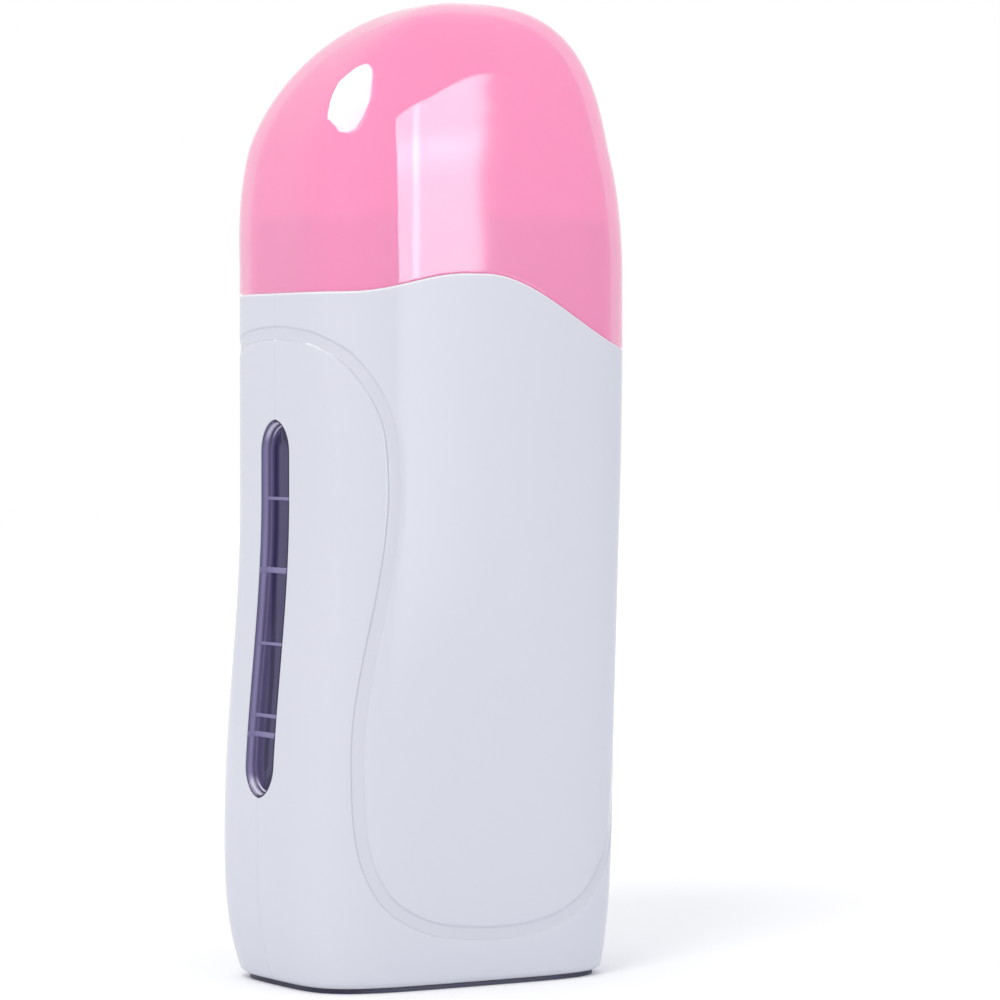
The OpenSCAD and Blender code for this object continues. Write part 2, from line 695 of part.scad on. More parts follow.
// Indicator: board in its stand, lamp, series resistor and the lens in the casing
lamp_l = 4.4;
module indicator_board() {
    color("darkolivegreen") translate([lamp_x - board_w / 2, board_y, board_z])
        cube([board_w, board_t, board_h]);
}
module indicator_led() {
    color("red") translate([lamp_x, board_y + board_t, inlet_z]) rotate([-90, 0, 0]) {
        cylinder(h = 0.8, r = 1.9, $fn = 32);
        cylinder(h = lamp_l - 1.5, r = 1.5, $fn = 32);
        translate([0, 0, lamp_l - 1.5]) sphere(1.5, $fn = 32);
    }
}
module indicator_lens() {
    flange_r = lamp_r + 1;
    inner = rear_y(lamp_x - flange_r, inlet_z - flange_r, casing_wall) - slip;
    color("salmon", 0.7) translate([lamp_x, 0, inlet_z]) rotate([-90, 0, 0]) {
        translate([0, 0, inner - 1]) cylinder(h = 1, r = flange_r, $fn = 48);
        translate([0, 0, inner - 1]) cylinder(h = side_y(inlet_z - lamp_r) - inner + 1, r = lamp_r, $fn = 48);
    }
}
resistor_r = 1.1;
module board_resistor() {
    color("tan") translate([lamp_x - 4, board_y - resistor_r - slip, board_z + 7]) rotate([0, 90, 0]) {
        cylinder(h = 6, r = resistor_r, $fn = 32);
        translate([0, 0, -1]) cylinder(h = 8, r = 0.4, $fn = 32);
    }
}

// Wires: their points are chosen by hand, from the terminals that they join
live_x = inlet_x + pin_pitch / 2;
neutral_x = inlet_x - pin_pitch / 2;
lug_end = lug_y - slip;
tab_z = heater_z - tab_l - slip;
duct_y = well_b + 3.6;
wire_gap = 0.8;
under_z = cradle_z - wire_r - wire_gap;
tab_a = neck_x + tab_gap / 2;
tab_b = neck_x - tab_gap / 2;
beside_x = neck_x + well_a + 2.7;
module lead_live() {
    color("saddlebrown") wire([[live_x, lug_end, inlet_z + 1], [live_x, lug_end - 2, inlet_z + 1],
        [live_x + 4, lug_end - 2.6, inlet_z + 4], [neck_x + leg_span / 2 + 3, 6, cradle_z - 5],
        [beside_x - 2, 3, cradle_z - 3.5], [beside_x, 0.5, cradle_z + 1], [beside_x, 0, well_z + 6],
        [beside_x, 0, well_z + 25], [sensor_mid, 0, fuse_z - 6], [sensor_mid, 0, fuse_z - 2],
        [sensor_mid, 0, fuse_z - slip]], [1, 0.35, 0.2]);
}
module lead_link() {
    color("saddlebrown") translate([sensor_mid, 0, fuse_z + fuse_l + slip])
        cylinder(h = link_l - terminal_l - 2 * slip, r = wire_r, $fn = 32);
}
module lead_heater() {
    top = sensor_z + sensor_l + terminal_l;
    corner_x = neck_x + well_a - 1.4;
    corner_y = -well_b + 1;
    color("saddlebrown") wire([[sensor_mid, 0, top + slip], [sensor_mid, 0, top + 1.6],
        [sensor_mid, -1.6, top + 3.8], [sensor_mid, -5, top + 4.6], [sensor_mid, -8.4, top + 2.6],
        [sensor_mid - 0.4, -10.5, top - 3], [corner_x + 0.6, corner_y + 2.6, top - 14],
        [corner_x, corner_y, top - 30], [corner_x, corner_y, well_z + 34],
        [corner_x - 3, corner_y - 1.8, well_z + 20], [tab_a + 8, -tab_y - 1, well_z + 9.6],
        [tab_a + 3.4, -tab_y - 0.3, tab_z - 2.8], [tab_a + 1, -tab_y, tab_z - 2],
        [tab_a + 1, -tab_y, tab_z]], [1, -0.6, 0.35]);
}
module bridge(x) {
    half = [[tab_y, tab_z], [tab_y, tab_z - 2], [duct_y, well_z + 4], [duct_y, cradle_z - 1],
        [duct_y - 3, under_z + 0.1], [duct_y - 8, under_z]];
    n = len(half);
    wire(concat([for (q = half) [x, -q[0], q[1]]], [[x, 0, under_z]],
        [for (i = [1:n]) [x, half[n - i][0], half[n - i][1]]]), [1, 0, 0]);
}
module bridge_live() {
    color("saddlebrown") bridge(tab_a - 1);
}
module bridge_neutral() {
    color("steelblue") bridge(tab_b - 1);
}
module lead_neutral() {
    x = tab_b + 1;
    color("steelblue") wire([[neutral_x, lug_end, inlet_z + 1], [neutral_x, lug_end - 2, inlet_z + 1],
        [neutral_x - 4, lug_end - 1.5, inlet_z + 4], [x, lug_end + 3, under_z - 0.8],
        [x, duct_y - 6, under_z - 0.2], [x, duct_y - 1, cradle_z - 0.6], [x, duct_y, cradle_z + 2],
        [x, duct_y, well_z + 4], [x, tab_y, tab_z - 2], [x, tab_y, tab_z]], [1, 0.4, 0.15]);
}
module board_lead(from_x, pad_z, dip) {
    color("saddlebrown") wire([[from_x, lug_end, inlet_z - 1], [from_x, lug_end - 2, inlet_z - 1],
        [from_x - 4, lug_end - 3, inlet_z - dip], [lamp_x + board_w / 2 + 2, lug_end, pad_z],
        [lamp_x + board_w / 2 - 2, board_y - 2.4, pad_z], [lamp_x + board_w / 2 - 2, board_y - slip, pad_z]],
        [0.15, 0.25, 1]);
}
module board_lead_live() {
    board_lead(live_x, board_z + 6, 6);
}
module board_lead_neutral() {
    board_lead(neutral_x, board_z + 14, 1);
}

front_shell();
rear_shell();
neck_collar();
cap();
level_window();
base_cover();
base_screws();
cradle_screws();
heating_well();
well_cradle();
heater_plate_front();
heater_plate_rear();
heater_spring_front();
heater_spring_rear();
thermostat();
thermostat_spring();
thermal_fuse();
fuse_sleeve();
inlet_housing();
inlet_pins();
indicator_board();
indicator_led();
indicator_lens();
board_resistor();
lead_live();
lead_link();
lead_heater();
lead_neutral();
bridge_live();
bridge_neutral();
board_lead_live();
board_lead_neutral();
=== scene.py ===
from bisect import bisect_left
from math import asin, atan2, cos, hypot, pi, radians, sin, sqrt

import bmesh
import bpy
from mathutils import Matrix, Vector
from mathutils.kdtree import KDTree


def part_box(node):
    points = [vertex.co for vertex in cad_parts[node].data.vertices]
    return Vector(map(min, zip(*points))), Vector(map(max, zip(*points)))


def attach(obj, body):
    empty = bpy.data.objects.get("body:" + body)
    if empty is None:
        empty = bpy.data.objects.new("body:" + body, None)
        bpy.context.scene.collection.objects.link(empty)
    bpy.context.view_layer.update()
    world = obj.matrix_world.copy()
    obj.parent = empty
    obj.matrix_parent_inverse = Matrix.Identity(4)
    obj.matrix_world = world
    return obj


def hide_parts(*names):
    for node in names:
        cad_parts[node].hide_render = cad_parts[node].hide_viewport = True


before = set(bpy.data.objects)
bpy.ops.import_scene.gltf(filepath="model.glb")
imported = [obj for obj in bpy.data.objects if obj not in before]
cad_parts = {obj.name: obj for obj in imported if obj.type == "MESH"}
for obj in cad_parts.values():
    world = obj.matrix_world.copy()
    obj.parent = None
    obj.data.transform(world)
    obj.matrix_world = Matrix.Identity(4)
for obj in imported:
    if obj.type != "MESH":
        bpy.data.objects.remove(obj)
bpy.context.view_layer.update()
mm = 0.001
weldReach = 0.002 * mm  # points closer than this become one

# Roll-on wax heater. Metres, +Z up: the level window is in the narrow side at -X,
# and the wide front looks to -Y.


def share(value, start, end):
    return min(1.0, max(0.0, (value - start) / (end - start)))


def ease(value):
    return (1 - cos(pi * value)) / 2


def roundOff(away, radius):  # how far a surface falls back near a rounded edge
    return radius - sqrt(max(0.0, radius ** 2 - max(0.0, radius - away) ** 2))


# ---- Outline of the casing and the cap, in the same values as the solids
collarLow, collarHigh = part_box("neck_collar")
collarFlange = 2.3 * mm
neck = {
    "x": (collarLow.x + collarHigh.x) / 2,
    "halfWidth": (collarHigh.x - collarLow.x) / 2 + collarFlange,
    "halfDepth": collarHigh.y + collarFlange,
    "square": 4.4,  # squareness of the outline, where 2 is an ellipse
}
shellLow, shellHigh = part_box("front_shell")
casing = {
    "foot": shellLow.z,
    "wall": 2.2 * mm,
    "swell": 4.2 * mm, "swellFrom": 31 * mm, "swellTo": 101 * mm,
    "leanX": 3 * mm, "leanY": 1.3 * mm, "leanTop": 131 * mm, "leanPower": 1.3,
    "tuckTop": 31 * mm, "tuckLeft": 3.6 * mm, "tuckRight": 1.2 * mm, "tuckY": 1.8 * mm, "tuckPower": 3,
    "footEdge": 1.4 * mm, "seamEdge": 0.16 * mm, "slotEdge": 0.15 * mm, "topEdge": 0.5 * mm,
}
jointLine = {
    "z": 143 * mm,
    "rise": 3.9 * mm, "riseFrom": -34 * mm, "riseTo": -7 * mm,
    "drop": 15.5 * mm, "dropFrom": -3 * mm, "dropTo": neck["halfWidth"] + 1 * mm,
}


def ovalUnit(turn):
    power = neck["square"]
    reach = (abs(cos(turn)) ** power + abs(sin(turn)) ** power) ** (-1 / power)
    return reach * cos(turn), reach * sin(turn)


def ovalPoint(turn, inset, z):
    x, y = ovalUnit(turn)
    return Vector((neck["x"] + (neck["halfWidth"] - inset) * x, (neck["halfDepth"] - inset) * y, z))


def tuckAndLean(z):  # how much of the tuck over the foot, and of the lean, a height has
    tuck = (1 - share(z, casing["foot"], casing["tuckTop"])) ** casing["tuckPower"]
    return tuck, (1 - share(z, casing["foot"], casing["leanTop"])) ** casing["leanPower"]


def sideY(z):
    tuck, lean = tuckAndLean(z)
    return neck["halfDepth"] - casing["leanY"] * lean - casing["tuckY"] * tuck


def sideX(z):
    tuck, lean = tuckAndLean(z)
    swell = casing["swell"] * (1 - ease(share(z, casing["swellFrom"], casing["swellTo"])))
    left = neck["x"] - neck["halfWidth"] - swell + casing["tuckLeft"] * tuck
    right = neck["x"] + neck["halfWidth"] - casing["leanX"] * lean - casing["tuckRight"] * tuck
    return left, right


def windowTurn(level):  # way off the seam, for a share of the half depth
    power = neck["square"]
    return atan2(level, (1 - level ** power) ** (1 / power))


def casingPoint(turn, z, inset):
    left, right = sideX(z)
    x, y = ovalUnit(turn)
    return Vector(((left + right) / 2 + ((right - left) / 2 - inset) * x, (sideY(z) - inset) * y, z))


def lineAt(turn):  # height of the joint between casing and cap
    x = neck["halfWidth"] * ovalUnit(turn)[0]
    rise = ease(share(x, jointLine["riseFrom"], jointLine["riseTo"]))
    drop = ease(share(x, jointLine["dropFrom"], jointLine["dropTo"]))
    return jointLine["z"] + jointLine["rise"] * rise - jointLine["drop"] * drop


# Way round one half, from the seam in the window side (turn pi) to the far seam (2 pi)
turnSteps = 4000
halfTurns = [pi + pi * k / turnSteps for k in range(turnSteps + 1)]
halfReach = [0.0]
for before, after in zip(halfTurns, halfTurns[1:]):
    a, b = ovalPoint(before, 0, 0), ovalPoint(after, 0, 0)
    halfReach.append(halfReach[-1] + (b - a).length)
halfLength = halfReach[-1]


def turnAt(reach):
    k = min(max(bisect_left(halfReach, reach), 1), turnSteps)
    part = (reach - halfReach[k - 1]) / (halfReach[k] - halfReach[k - 1])
    return halfTurns[k - 1] + (halfTurns[k] - halfTurns[k - 1]) * part


def reachAt(turn):
    place = (turn - pi) / pi * turnSteps
    k = min(int(place), turnSteps - 1)
    return halfReach[k] + (place - k) * (halfReach[k + 1] - halfReach[k])


def evenTurn(column, columns):  # even steps all the way round
    reach = 2 * halfLength * column / columns
    return turnAt(reach) if reach <= halfLength else 4 * pi - turnAt(2 * halfLength - reach)


# ---- Mesh helpers
def gridMesh(columns, rows, place):
    bm = bmesh.new()
    bmesh.ops.create_grid(bm, x_segments=columns, y_segments=rows, size=0.5)
    for v in bm.verts:
        v.co = place(round((v.co.x + 0.5) * columns), round((v.co.y + 0.5) * rows))
    return bm


def addMesh(bm, other):  # moves another mesh's shapes into bm
    part = bpy.data.meshes.new("part")
    other.to_mesh(part)
    other.free()
    bm.from_mesh(part)
    bpy.data.meshes.remove(part)


def addBox(bm, low, high):
    place = Matrix.Translation((low + high) / 2) @ Matrix.Diagonal((*(high - low), 1))
    return bmesh.ops.create_cube(bm, size=1, matrix=place)["verts"]


def closedSkins(columns, rows, place):  # an outer and an inner skin, joined round their edges
    bm = gridMesh(columns, rows, lambda j, i: place(j, i, False))
    addMesh(bm, gridMesh(columns, rows, lambda j, i: place(j, i, True)))
    bmesh.ops.bridge_loops(bm, edges=[e for e in bm.edges if e.is_boundary])
    return bm


def sweepRound(rows, columns, place):  # a section's rows, swept all the way round the outline
    turns = [evenTurn(k, columns) for k in range(columns)]
    return gridMesh(columns, len(rows) - 1, lambda j, i: place(rows[i], turns[j % columns]))


def closeEnds(bm, sides):
    bmesh.ops.remove_doubles(bm, verts=bm.verts, dist=weldReach)
    bmesh.ops.holes_fill(bm, edges=[e for e in bm.edges if e.is_boundary], sides=sides)


def finishMesh(bm, name, sharpAngle=38):
    bmesh.ops.remove_doubles(bm, verts=bm.verts, dist=weldReach)
    bmesh.ops.recalc_face_normals(bm, faces=bm.faces)
    for face in bm.faces:
        face.smooth = True
    for edge in bm.edges:
        if edge.is_manifold and edge.calc_face_angle(0) > radians(sharpAngle):
            edge.smooth = False
    mesh = bpy.data.meshes.new(name)
    bm.to_mesh(mesh)
    bm.free()
    piece = bpy.data.objects.new(name, mesh)
    bpy.context.scene.collection.objects.link(piece)
    return piece


def paintMap(piece, name, value):  # a number at every point, which the finish reads
    values = piece.data.attributes.new(name, "FLOAT", "POINT").data
    for v in piece.data.vertices:
        values[v.index].value = value(v.co)


def dress(piece, body, slotName, material, *replaced):
    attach(piece, body)
    if replaced:
        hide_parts(*replaced)
    piece.data.materials.clear()
    piece.data.materials.append(material)
    print("made", piece.name, len(piece.data.polygons), "faces")


# ---- Effects that several materials share
def nodeGroup(name, inputs, outputs):
    group = bpy.data.node_groups.new(name, "ShaderNodeTree")
    for label, kind in inputs:
        group.interface.new_socket(label, in_out="INPUT", socket_type=kind)
    for label, kind in outputs:
        group.interface.new_socket(label, in_out="OUTPUT", socket_type=kind)
    start = group.nodes.new("NodeGroupInput")
    end = group.nodes.new("NodeGroupOutput")
    return group, start.outputs, end.inputs


def addNode(tree, kind, values=None, **settings):
    node = tree.nodes.new(kind)
    for key, value in settings.items():
        setattr(node, key, value)
    for key, value in (values or {}).items():
        if isinstance(value, bpy.types.NodeSocket):
            tree.links.new(value, node.inputs[key])
        else:
            node.inputs[key].default_value = value
    return node


def painted(tree, name):  # a number that paintMap put at every point
    return addNode(tree, "ShaderNodeAttribute", attribute_name=name).outputs["Fac"]


def doMath(tree, operation, first, second):
    return addNode(tree, "ShaderNodeMath", {0: first, 1: second}, operation=operation).outputs[0]


def oneMinus(tree, value):
    return doMath(tree, "SUBTRACT", 1.0, value)


def mapSmooth(tree, value, start, end):
    return addNode(tree, "ShaderNodeMapRange", {"Value": value, "From Min": start, "From Max": end},
                   interpolation_type="SMOOTHSTEP").outputs["Result"]


def mixColour(tree, factor, first, second, blend="MIX"):
    node = addNode(tree, "ShaderNodeMix", data_type="RGBA", blend_type=blend)
    sockets = {"Factor": factor, "A": first, "B": second}
    for socket in node.inputs:
        if socket.enabled and socket.name in sockets:
            value = sockets[socket.name]
            if isinstance(value, bpy.types.NodeSocket):
                tree.links.new(value, socket)
            else:
                socket.default_value = value
    return [out for out in node.outputs if out.enabled][0]


mouldedSkin = {"flowScale": 28.0, "flowDetail": 3.0, "grainDetail": 2.0,
               "smearScale": 90.0, "smearDetail": 4.0, "smearWarp": 0.6}
drawnMetal = {"lineDetail": 4.0, "stainScale": 60.0, "stainDetail": 3.0, "contrast": 2.2}


def makeMouldedSkin(made):
    group, given, wanted = nodeGroup(
        "mouldedSkin",
        [("Colour", "NodeSocketColor"), ("Shade", "NodeSocketColor"), ("Grain", "NodeSocketFloat"),
         ("Roughness", "NodeSocketFloat"), ("Spread", "NodeSocketFloat")],
        [("Colour", "NodeSocketColor"), ("Roughness", "NodeSocketFloat"), ("Height", "NodeSocketFloat")])
    spot = addNode(group, "ShaderNodeTexCoord").outputs["Object"]
    flow = addNode(group, "ShaderNodeTexNoise", {
        "Vector": spot, "Scale": made["flowScale"], "Detail": made["flowDetail"]})
    grain = addNode(group, "ShaderNodeTexNoise", {
        "Vector": spot, "Scale": given["Grain"], "Detail": made["grainDetail"]})
    smear = addNode(group, "ShaderNodeTexNoise", {
        "Vector": spot, "Scale": made["smearScale"], "Detail": made["smearDetail"],
        "Distortion": made["smearWarp"]})
    colour = mixColour(group, flow.outputs[0], given["Colour"], given["Shade"])
    group.links.new(colour, wanted["Colour"])
    swing = doMath(group, "MULTIPLY", doMath(group, "SUBTRACT", smear.outputs[0], 0.5), given["Spread"])
    group.links.new(doMath(group, "ADD", given["Roughness"], swing), wanted["Roughness"])
    group.links.new(grain.outputs[0], wanted["Height"])
    return group


def makeDrawnMetal(made):
    group, given, wanted = nodeGroup(
        "drawnMetal",
        [("Colour", "NodeSocketColor"), ("Shade", "NodeSocketColor"), ("Lines", "NodeSocketVector"),
         ("Roughness", "NodeSocketFloat"), ("Spread", "NodeSocketFloat")],
        [("Colour", "NodeSocketColor"), ("Roughness", "NodeSocketFloat"), ("Height", "NodeSocketFloat")])
    spot = addNode(group, "ShaderNodeTexCoord").outputs["Object"]
    stretched = addNode(group, "ShaderNodeMapping", {"Vector": spot, "Scale": given["Lines"]}).outputs[0]
    lines = addNode(group, "ShaderNodeTexNoise", {
        "Vector": stretched, "Scale": 1.0, "Detail": made["lineDetail"]})
    stain = addNode(group, "ShaderNodeTexNoise", {
        "Vector": spot, "Scale": made["stainScale"], "Detail": made["stainDetail"]})
    both = doMath(group, "MULTIPLY", lines.outputs[0], stain.outputs[0])
    worn = doMath(group, "MULTIPLY", both, made["contrast"])
    group.links.new(mixColour(group, worn, given["Shade"], given["Colour"]), wanted["Colour"])
    swing = doMath(group, "MULTIPLY", doMath(group, "SUBTRACT", lines.outputs[0], 0.5), given["Spread"])
    group.links.new(doMath(group, "ADD", given["Roughness"], swing), wanted["Roughness"])
    group.links.new(lines.outputs[0], wanted["Height"])
    return group


skinGroup = makeMouldedSkin(mouldedSkin)
metalGroup = makeDrawnMetal(drawnMetal)


def newMaterial(name):
    material = bpy.data.materials.new(name)
    material.use_nodes = True
    return material, material.node_tree


def makeMaterial(name, group, values, bump, settings):
    material, tree = newMaterial(name)
    shader = tree.nodes["Principled BSDF"]
    effect = addNode(tree, "ShaderNodeGroup", node_tree=group)
    for key, value in values.items():
        effect.inputs[key].default_value = value
    tree.links.new(effect.outputs["Colour"], shader.inputs["Base Color"])
    tree.links.new(effect.outputs["Roughness"], shader.inputs["Roughness"])
    relief = addNode(tree, "ShaderNodeBump",
                     {"Height": effect.outputs["Height"], "Strength": 1.0, "Distance": bump})
    tree.links.new(relief.outputs[0], shader.inputs["Normal"])
    for key, value in settings.items():
        shader.inputs[key].default_value = value
    return material


def mouldedMaterial(name, colour, shade, roughness, grain=1500.0, spread=0.08, bump=0.004 * mm, **settings):
    values = {"Colour": (*colour, 1), "Shade": (*shade, 1), "Grain": grain,
              "Roughness": roughness, "Spread": spread}
    return makeMaterial(name, skinGroup, values, bump, {k.replace("_", " "): v for k, v in settings.items()})


def metalMaterial(name, colour, shade, roughness, lines=(900, 900, 60), spread=0.2, bump=0.004 * mm):
    values = {"Colour": (*colour, 1), "Shade": (*shade, 1), "Lines": lines,
              "Roughness": roughness, "Spread": spread}
    return makeMaterial(name, metalGroup, values, bump, {"Metallic": 1.0})


shellPlastic = mouldedMaterial("shellPlastic", (0.664, 0.678, 0.758), (0.651, 0.665, 0.746), 0.11,
                               grain=2200.0, spread=0.02, bump=0.003 * mm, Specular_IOR_Level=0.06)
capPlastic = mouldedMaterial("capPlastic", (1.0, 0.302, 0.56), (0.99, 0.288, 0.545), 0.045,
                             grain=300.0, spread=0.02, bump=0.0002 * mm, Coat_Weight=0.3, Coat_Roughness=0.03)
groovedShell = {
    "carve": 0.24,  # relief of the groove in mm, on top of the dip in the mesh
    "outerWall": (-1.55 * mm, -1.1 * mm), "innerWall": (1.0 * mm, 1.6 * mm),
    # painted shade on the groove's floor (floorShade) and painted light on both its walls (wallShade)
    "grain": 0.002, "floorShade": 0.968, "wallShade": 1.03,
    # painted highlight: rim and its colour make the casing lighter just under the joint line
    "rim": (0.05 * mm, 0.55 * mm), "rimHighlightColour": (0.96, 0.965, 1.0),  # light edge along the joint line
}


# bump relief for the groove, with painted shade and light in it, and a painted highlight along the joint line
def carveAndShadeGroove(material, made):
    tree = material.node_tree
    shader = tree.nodes["Principled BSDF"]
    effect = [n for n in tree.nodes if n.type == "GROUP"][0]
    relief = [n for n in tree.nodes if n.type == "BUMP"][0]
    aside = painted(tree, "grooveAside")
    outer = mapSmooth(tree, aside, *made["outerWall"])
    inner = mapSmooth(tree, aside, *made["innerWall"])
    floor = doMath(tree, "MULTIPLY", outer, oneMinus(tree, inner))
    height = doMath(tree, "SUBTRACT", doMath(tree, "MULTIPLY", effect.outputs["Height"], made["grain"]),
                    doMath(tree, "MULTIPLY", floor, made["carve"]))
    tree.links.new(height, relief.inputs["Height"])
    relief.inputs["Distance"].default_value = mm
    # painted shade: the groove's floor is made a little dim; painted light: both its walls are made a little
    # brighter
    shade = made["floorShade"]
    darker = mixColour(tree, floor, (1, 1, 1, 1), (shade, shade, shade, 1))
    wall, shade = doMath(tree, "MULTIPLY", floor, oneMinus(tree, floor)), made["wallShade"]
    darker = mixColour(tree, doMath(tree, "MULTIPLY", wall, 4.0), darker, (shade, shade, shade, 1))
    skin = mixColour(tree, 1.0, effect.outputs["Colour"], darker, "MULTIPLY")
    # painted highlight: the casing lighter just under the joint line
    under = painted(tree, "underLine")
    rim = oneMinus(tree, mapSmooth(tree, under, *made["rim"]))
    tree.links.new(mixColour(tree, rim, skin, (*made["rimHighlightColour"], 1)), shader.inputs["Base Color"])


carveAndShadeGroove(shellPlastic, groovedShell)
capClear = {"seen": 0.58, "lit": 0.25}  # how solid the plastic is to the eye, and to light on its way in


def letLightIn(material, seen, lit):
    tree = material.node_tree
    path = addNode(tree, "ShaderNodeLightPath")
    passing = doMath(tree, "MAXIMUM", path.outputs["Is Shadow Ray"], path.outputs["Is Diffuse Ray"])
    solid = doMath(tree, "SUBTRACT", seen, doMath(tree, "MULTIPLY", passing, seen - lit))
    tree.links.new(solid, tree.nodes["Principled BSDF"].inputs["Alpha"])


letLightIn(capPlastic, **capClear)
collarPlastic = mouldedMaterial("collarPlastic", (0.38, 0.36, 0.46), (0.36, 0.34, 0.44), 0.36)
windowPlastic = mouldedMaterial("windowPlastic", (0.084, 0.070, 0.171), (0.070, 0.058, 0.150), 0.2,
                                grain=900.0, spread=0.05, Alpha=0.97, Specular_IOR_Level=0.09)
markPlastic = mouldedMaterial("markPlastic", (0.250, 0.225, 0.410), (0.215, 0.192, 0.360), 0.4,
                              Specular_IOR_Level=0.15)
smokyLens = {
    "width": 12.2,
    # smoky tint with painted light and shade: dim along both edges, lighter streaks where the bevels catch
    # light; by the distance from the lens's rear edge, in mm
    "tintsWithLightAndShade": [(0, (0.050, 0.042, 0.100)), (0.26, (0.070, 0.060, 0.138)), (0.4, (0.165, 0.146, 0.290)),
              (0.66, (0.310, 0.276, 0.480)), (0.8, (0.265, 0.235, 0.430)), (0.96, (0.110, 0.094, 0.200)),
              (1.1, (0.115, 0.098, 0.208)), (1.2, (0.160, 0.138, 0.262)), (1.6, (0.098, 0.084, 0.180)),
              (2.2, (0.073, 0.063, 0.140)), (7.9, (0.070, 0.061, 0.136)), (8.4, (0.026, 0.021, 0.066)),
              (12.2, (0.026, 0.021, 0.066))],
    # painted shade, a darker band along the lens's floor: colour, half width, middle high and low on the
    # lens, and those heights
    "shadeBand": ((0.021, 0.015, 0.060), 1.0, (3.3, 5.4), (88, 60)),
    # painted highlights round both ends: where each lies from the lens's edge, and how far on it is full
    "glints": [(0.4, 0.95, 1.8, 4.2), (1.06, 1.4, 2.4, 4.4)],
    "glintColour": (0.72, 0.70, 0.84), "streak": 0.2, "streakScale": (1500, 1500, 40), "streakDetail": 3.0,
    "skinShare": 0.08,  # share of the plain moulded colour
}


# the lens's tint, with painted light and shade: streaks across it, a painted shade band along its floor, and
# painted highlights round the ends
def tintAndLightLens(material, made):
    tree = material.node_tree
    effect = [n for n in tree.nodes if n.type == "GROUP"][0]
    across = painted(tree, "acrossLens")
    ramp = addNode(tree, "ShaderNodeValToRGB", {"Fac": doMath(tree, "DIVIDE", across, made["width"] * mm)})
    stops = ramp.color_ramp.elements
    while len(stops) < len(made["tintsWithLightAndShade"]):
        stops.new(0.5)
    for stop, (place, colour) in zip(stops, made["tintsWithLightAndShade"]):
        stop.position = place / made["width"]
        stop.color = (*colour, 1)
    spot = addNode(tree, "ShaderNodeTexCoord").outputs["Object"]
    # painted shade along the lens's floor
    colour, half, middles, heights = made["shadeBand"]
    up = addNode(tree, "ShaderNodeSeparateXYZ", {0: spot}).outputs["Z"]
    middle = addNode(tree, "ShaderNodeMapRange", {
        "Value": up, "From Min": heights[0] * mm, "From Max": heights[1] * mm,
        "To Min": middles[0] * mm, "To Max": middles[1] * mm}, interpolation_type="SMOOTHSTEP").outputs[0]
    away = doMath(tree, "ABSOLUTE", doMath(tree, "SUBTRACT", across, middle), 0.0)
    shadeBand = oneMinus(tree, mapSmooth(tree, away, 0.5 * half * mm, 1.5 * half * mm))
    tinted = mixColour(tree, shadeBand, ramp.outputs["Color"], (*colour, 1))
    drawn = addNode(tree, "ShaderNodeMapping", {"Vector": spot, "Scale": made["streakScale"]}).outputs[0]
    streak = addNode(tree, "ShaderNodeTexNoise", {
        "Vector": drawn, "Scale": 1.0, "Detail": made["streakDetail"]}).outputs[0]
    lift = doMath(tree, "ADD", 1 - made["streak"], doMath(tree, "MULTIPLY", streak, 2 * made["streak"]))
    lifted = addNode(tree, "ShaderNodeCombineColor", {0: lift, 1: lift, 2: lift}).outputs[0]
    tinted = mixColour(tree, 1.0, tinted, lifted, "MULTIPLY")
    tinted = mixColour(tree, made["skinShare"], tinted, effect.outputs["Colour"])
    edge = painted(tree, "fromEdge")
    past = painted(tree, "pastStraight")
    # painted highlights round both ends of the lens
    for near, far, start, full in made["glints"]:
        middle = (near + far) / 2 * mm
        glint = doMath(tree, "MULTIPLY", mapSmooth(tree, edge, near * mm, middle),
                       oneMinus(tree, mapSmooth(tree, edge, middle, far * mm)))
        glint = doMath(tree, "MULTIPLY", glint, mapSmooth(tree, past, start * mm, full * mm))
        tinted = mixColour(tree, glint, tinted, (*made["glintColour"], 1))
    tree.links.new(tinted, tree.nodes["Principled BSDF"].inputs["Base Color"])


tintAndLightLens(windowPlastic, smokyLens)
print("materials ready")


# ---- Window slot: a straight strip that is closed by two arcs at each end
windowLow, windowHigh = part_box("level_window")
window = {
    "width": 12.2 * mm,
    "arc": 6.8 * mm,
    "flange": 2.2 * mm,
    "gap": 0.05 * mm,
    "tipSteps": 12,
}
window["low"] = windowLow.z + window["flange"]
window["high"] = windowHigh.z - window["flange"]
window["offset"] = window["arc"] - window["width"] / 2
window["rise"] = sqrt(window["arc"] ** 2 - window["offset"] ** 2)


def pastStraight(z):  # how far a height is past the straight part of the slot
    return max(0.0, window["low"] + window["rise"] - z, z - window["high"] + window["rise"])


def slotHalf(z, inset=0.0):
    arc, past = window["arc"] - inset, pastStraight(z)
    return max(0.0, sqrt(arc ** 2 - past ** 2) - window["offset"]) if past < arc else 0.0


def tipRows(steps):  # heights from the slot's tip to the straight part, even along the arc
    widest = asin(window["rise"] / window["arc"])
    return [window["rise"] - window["arc"] * sin(widest * (1 - k / steps)) for k in range(steps + 1)]


def evenRows(start, end, step):  # leaves out the first, which the rows before it hold
    count = max(1, round((end - start) / step))
    return [start + (end - start) * k / count for k in range(1, count + 1)]


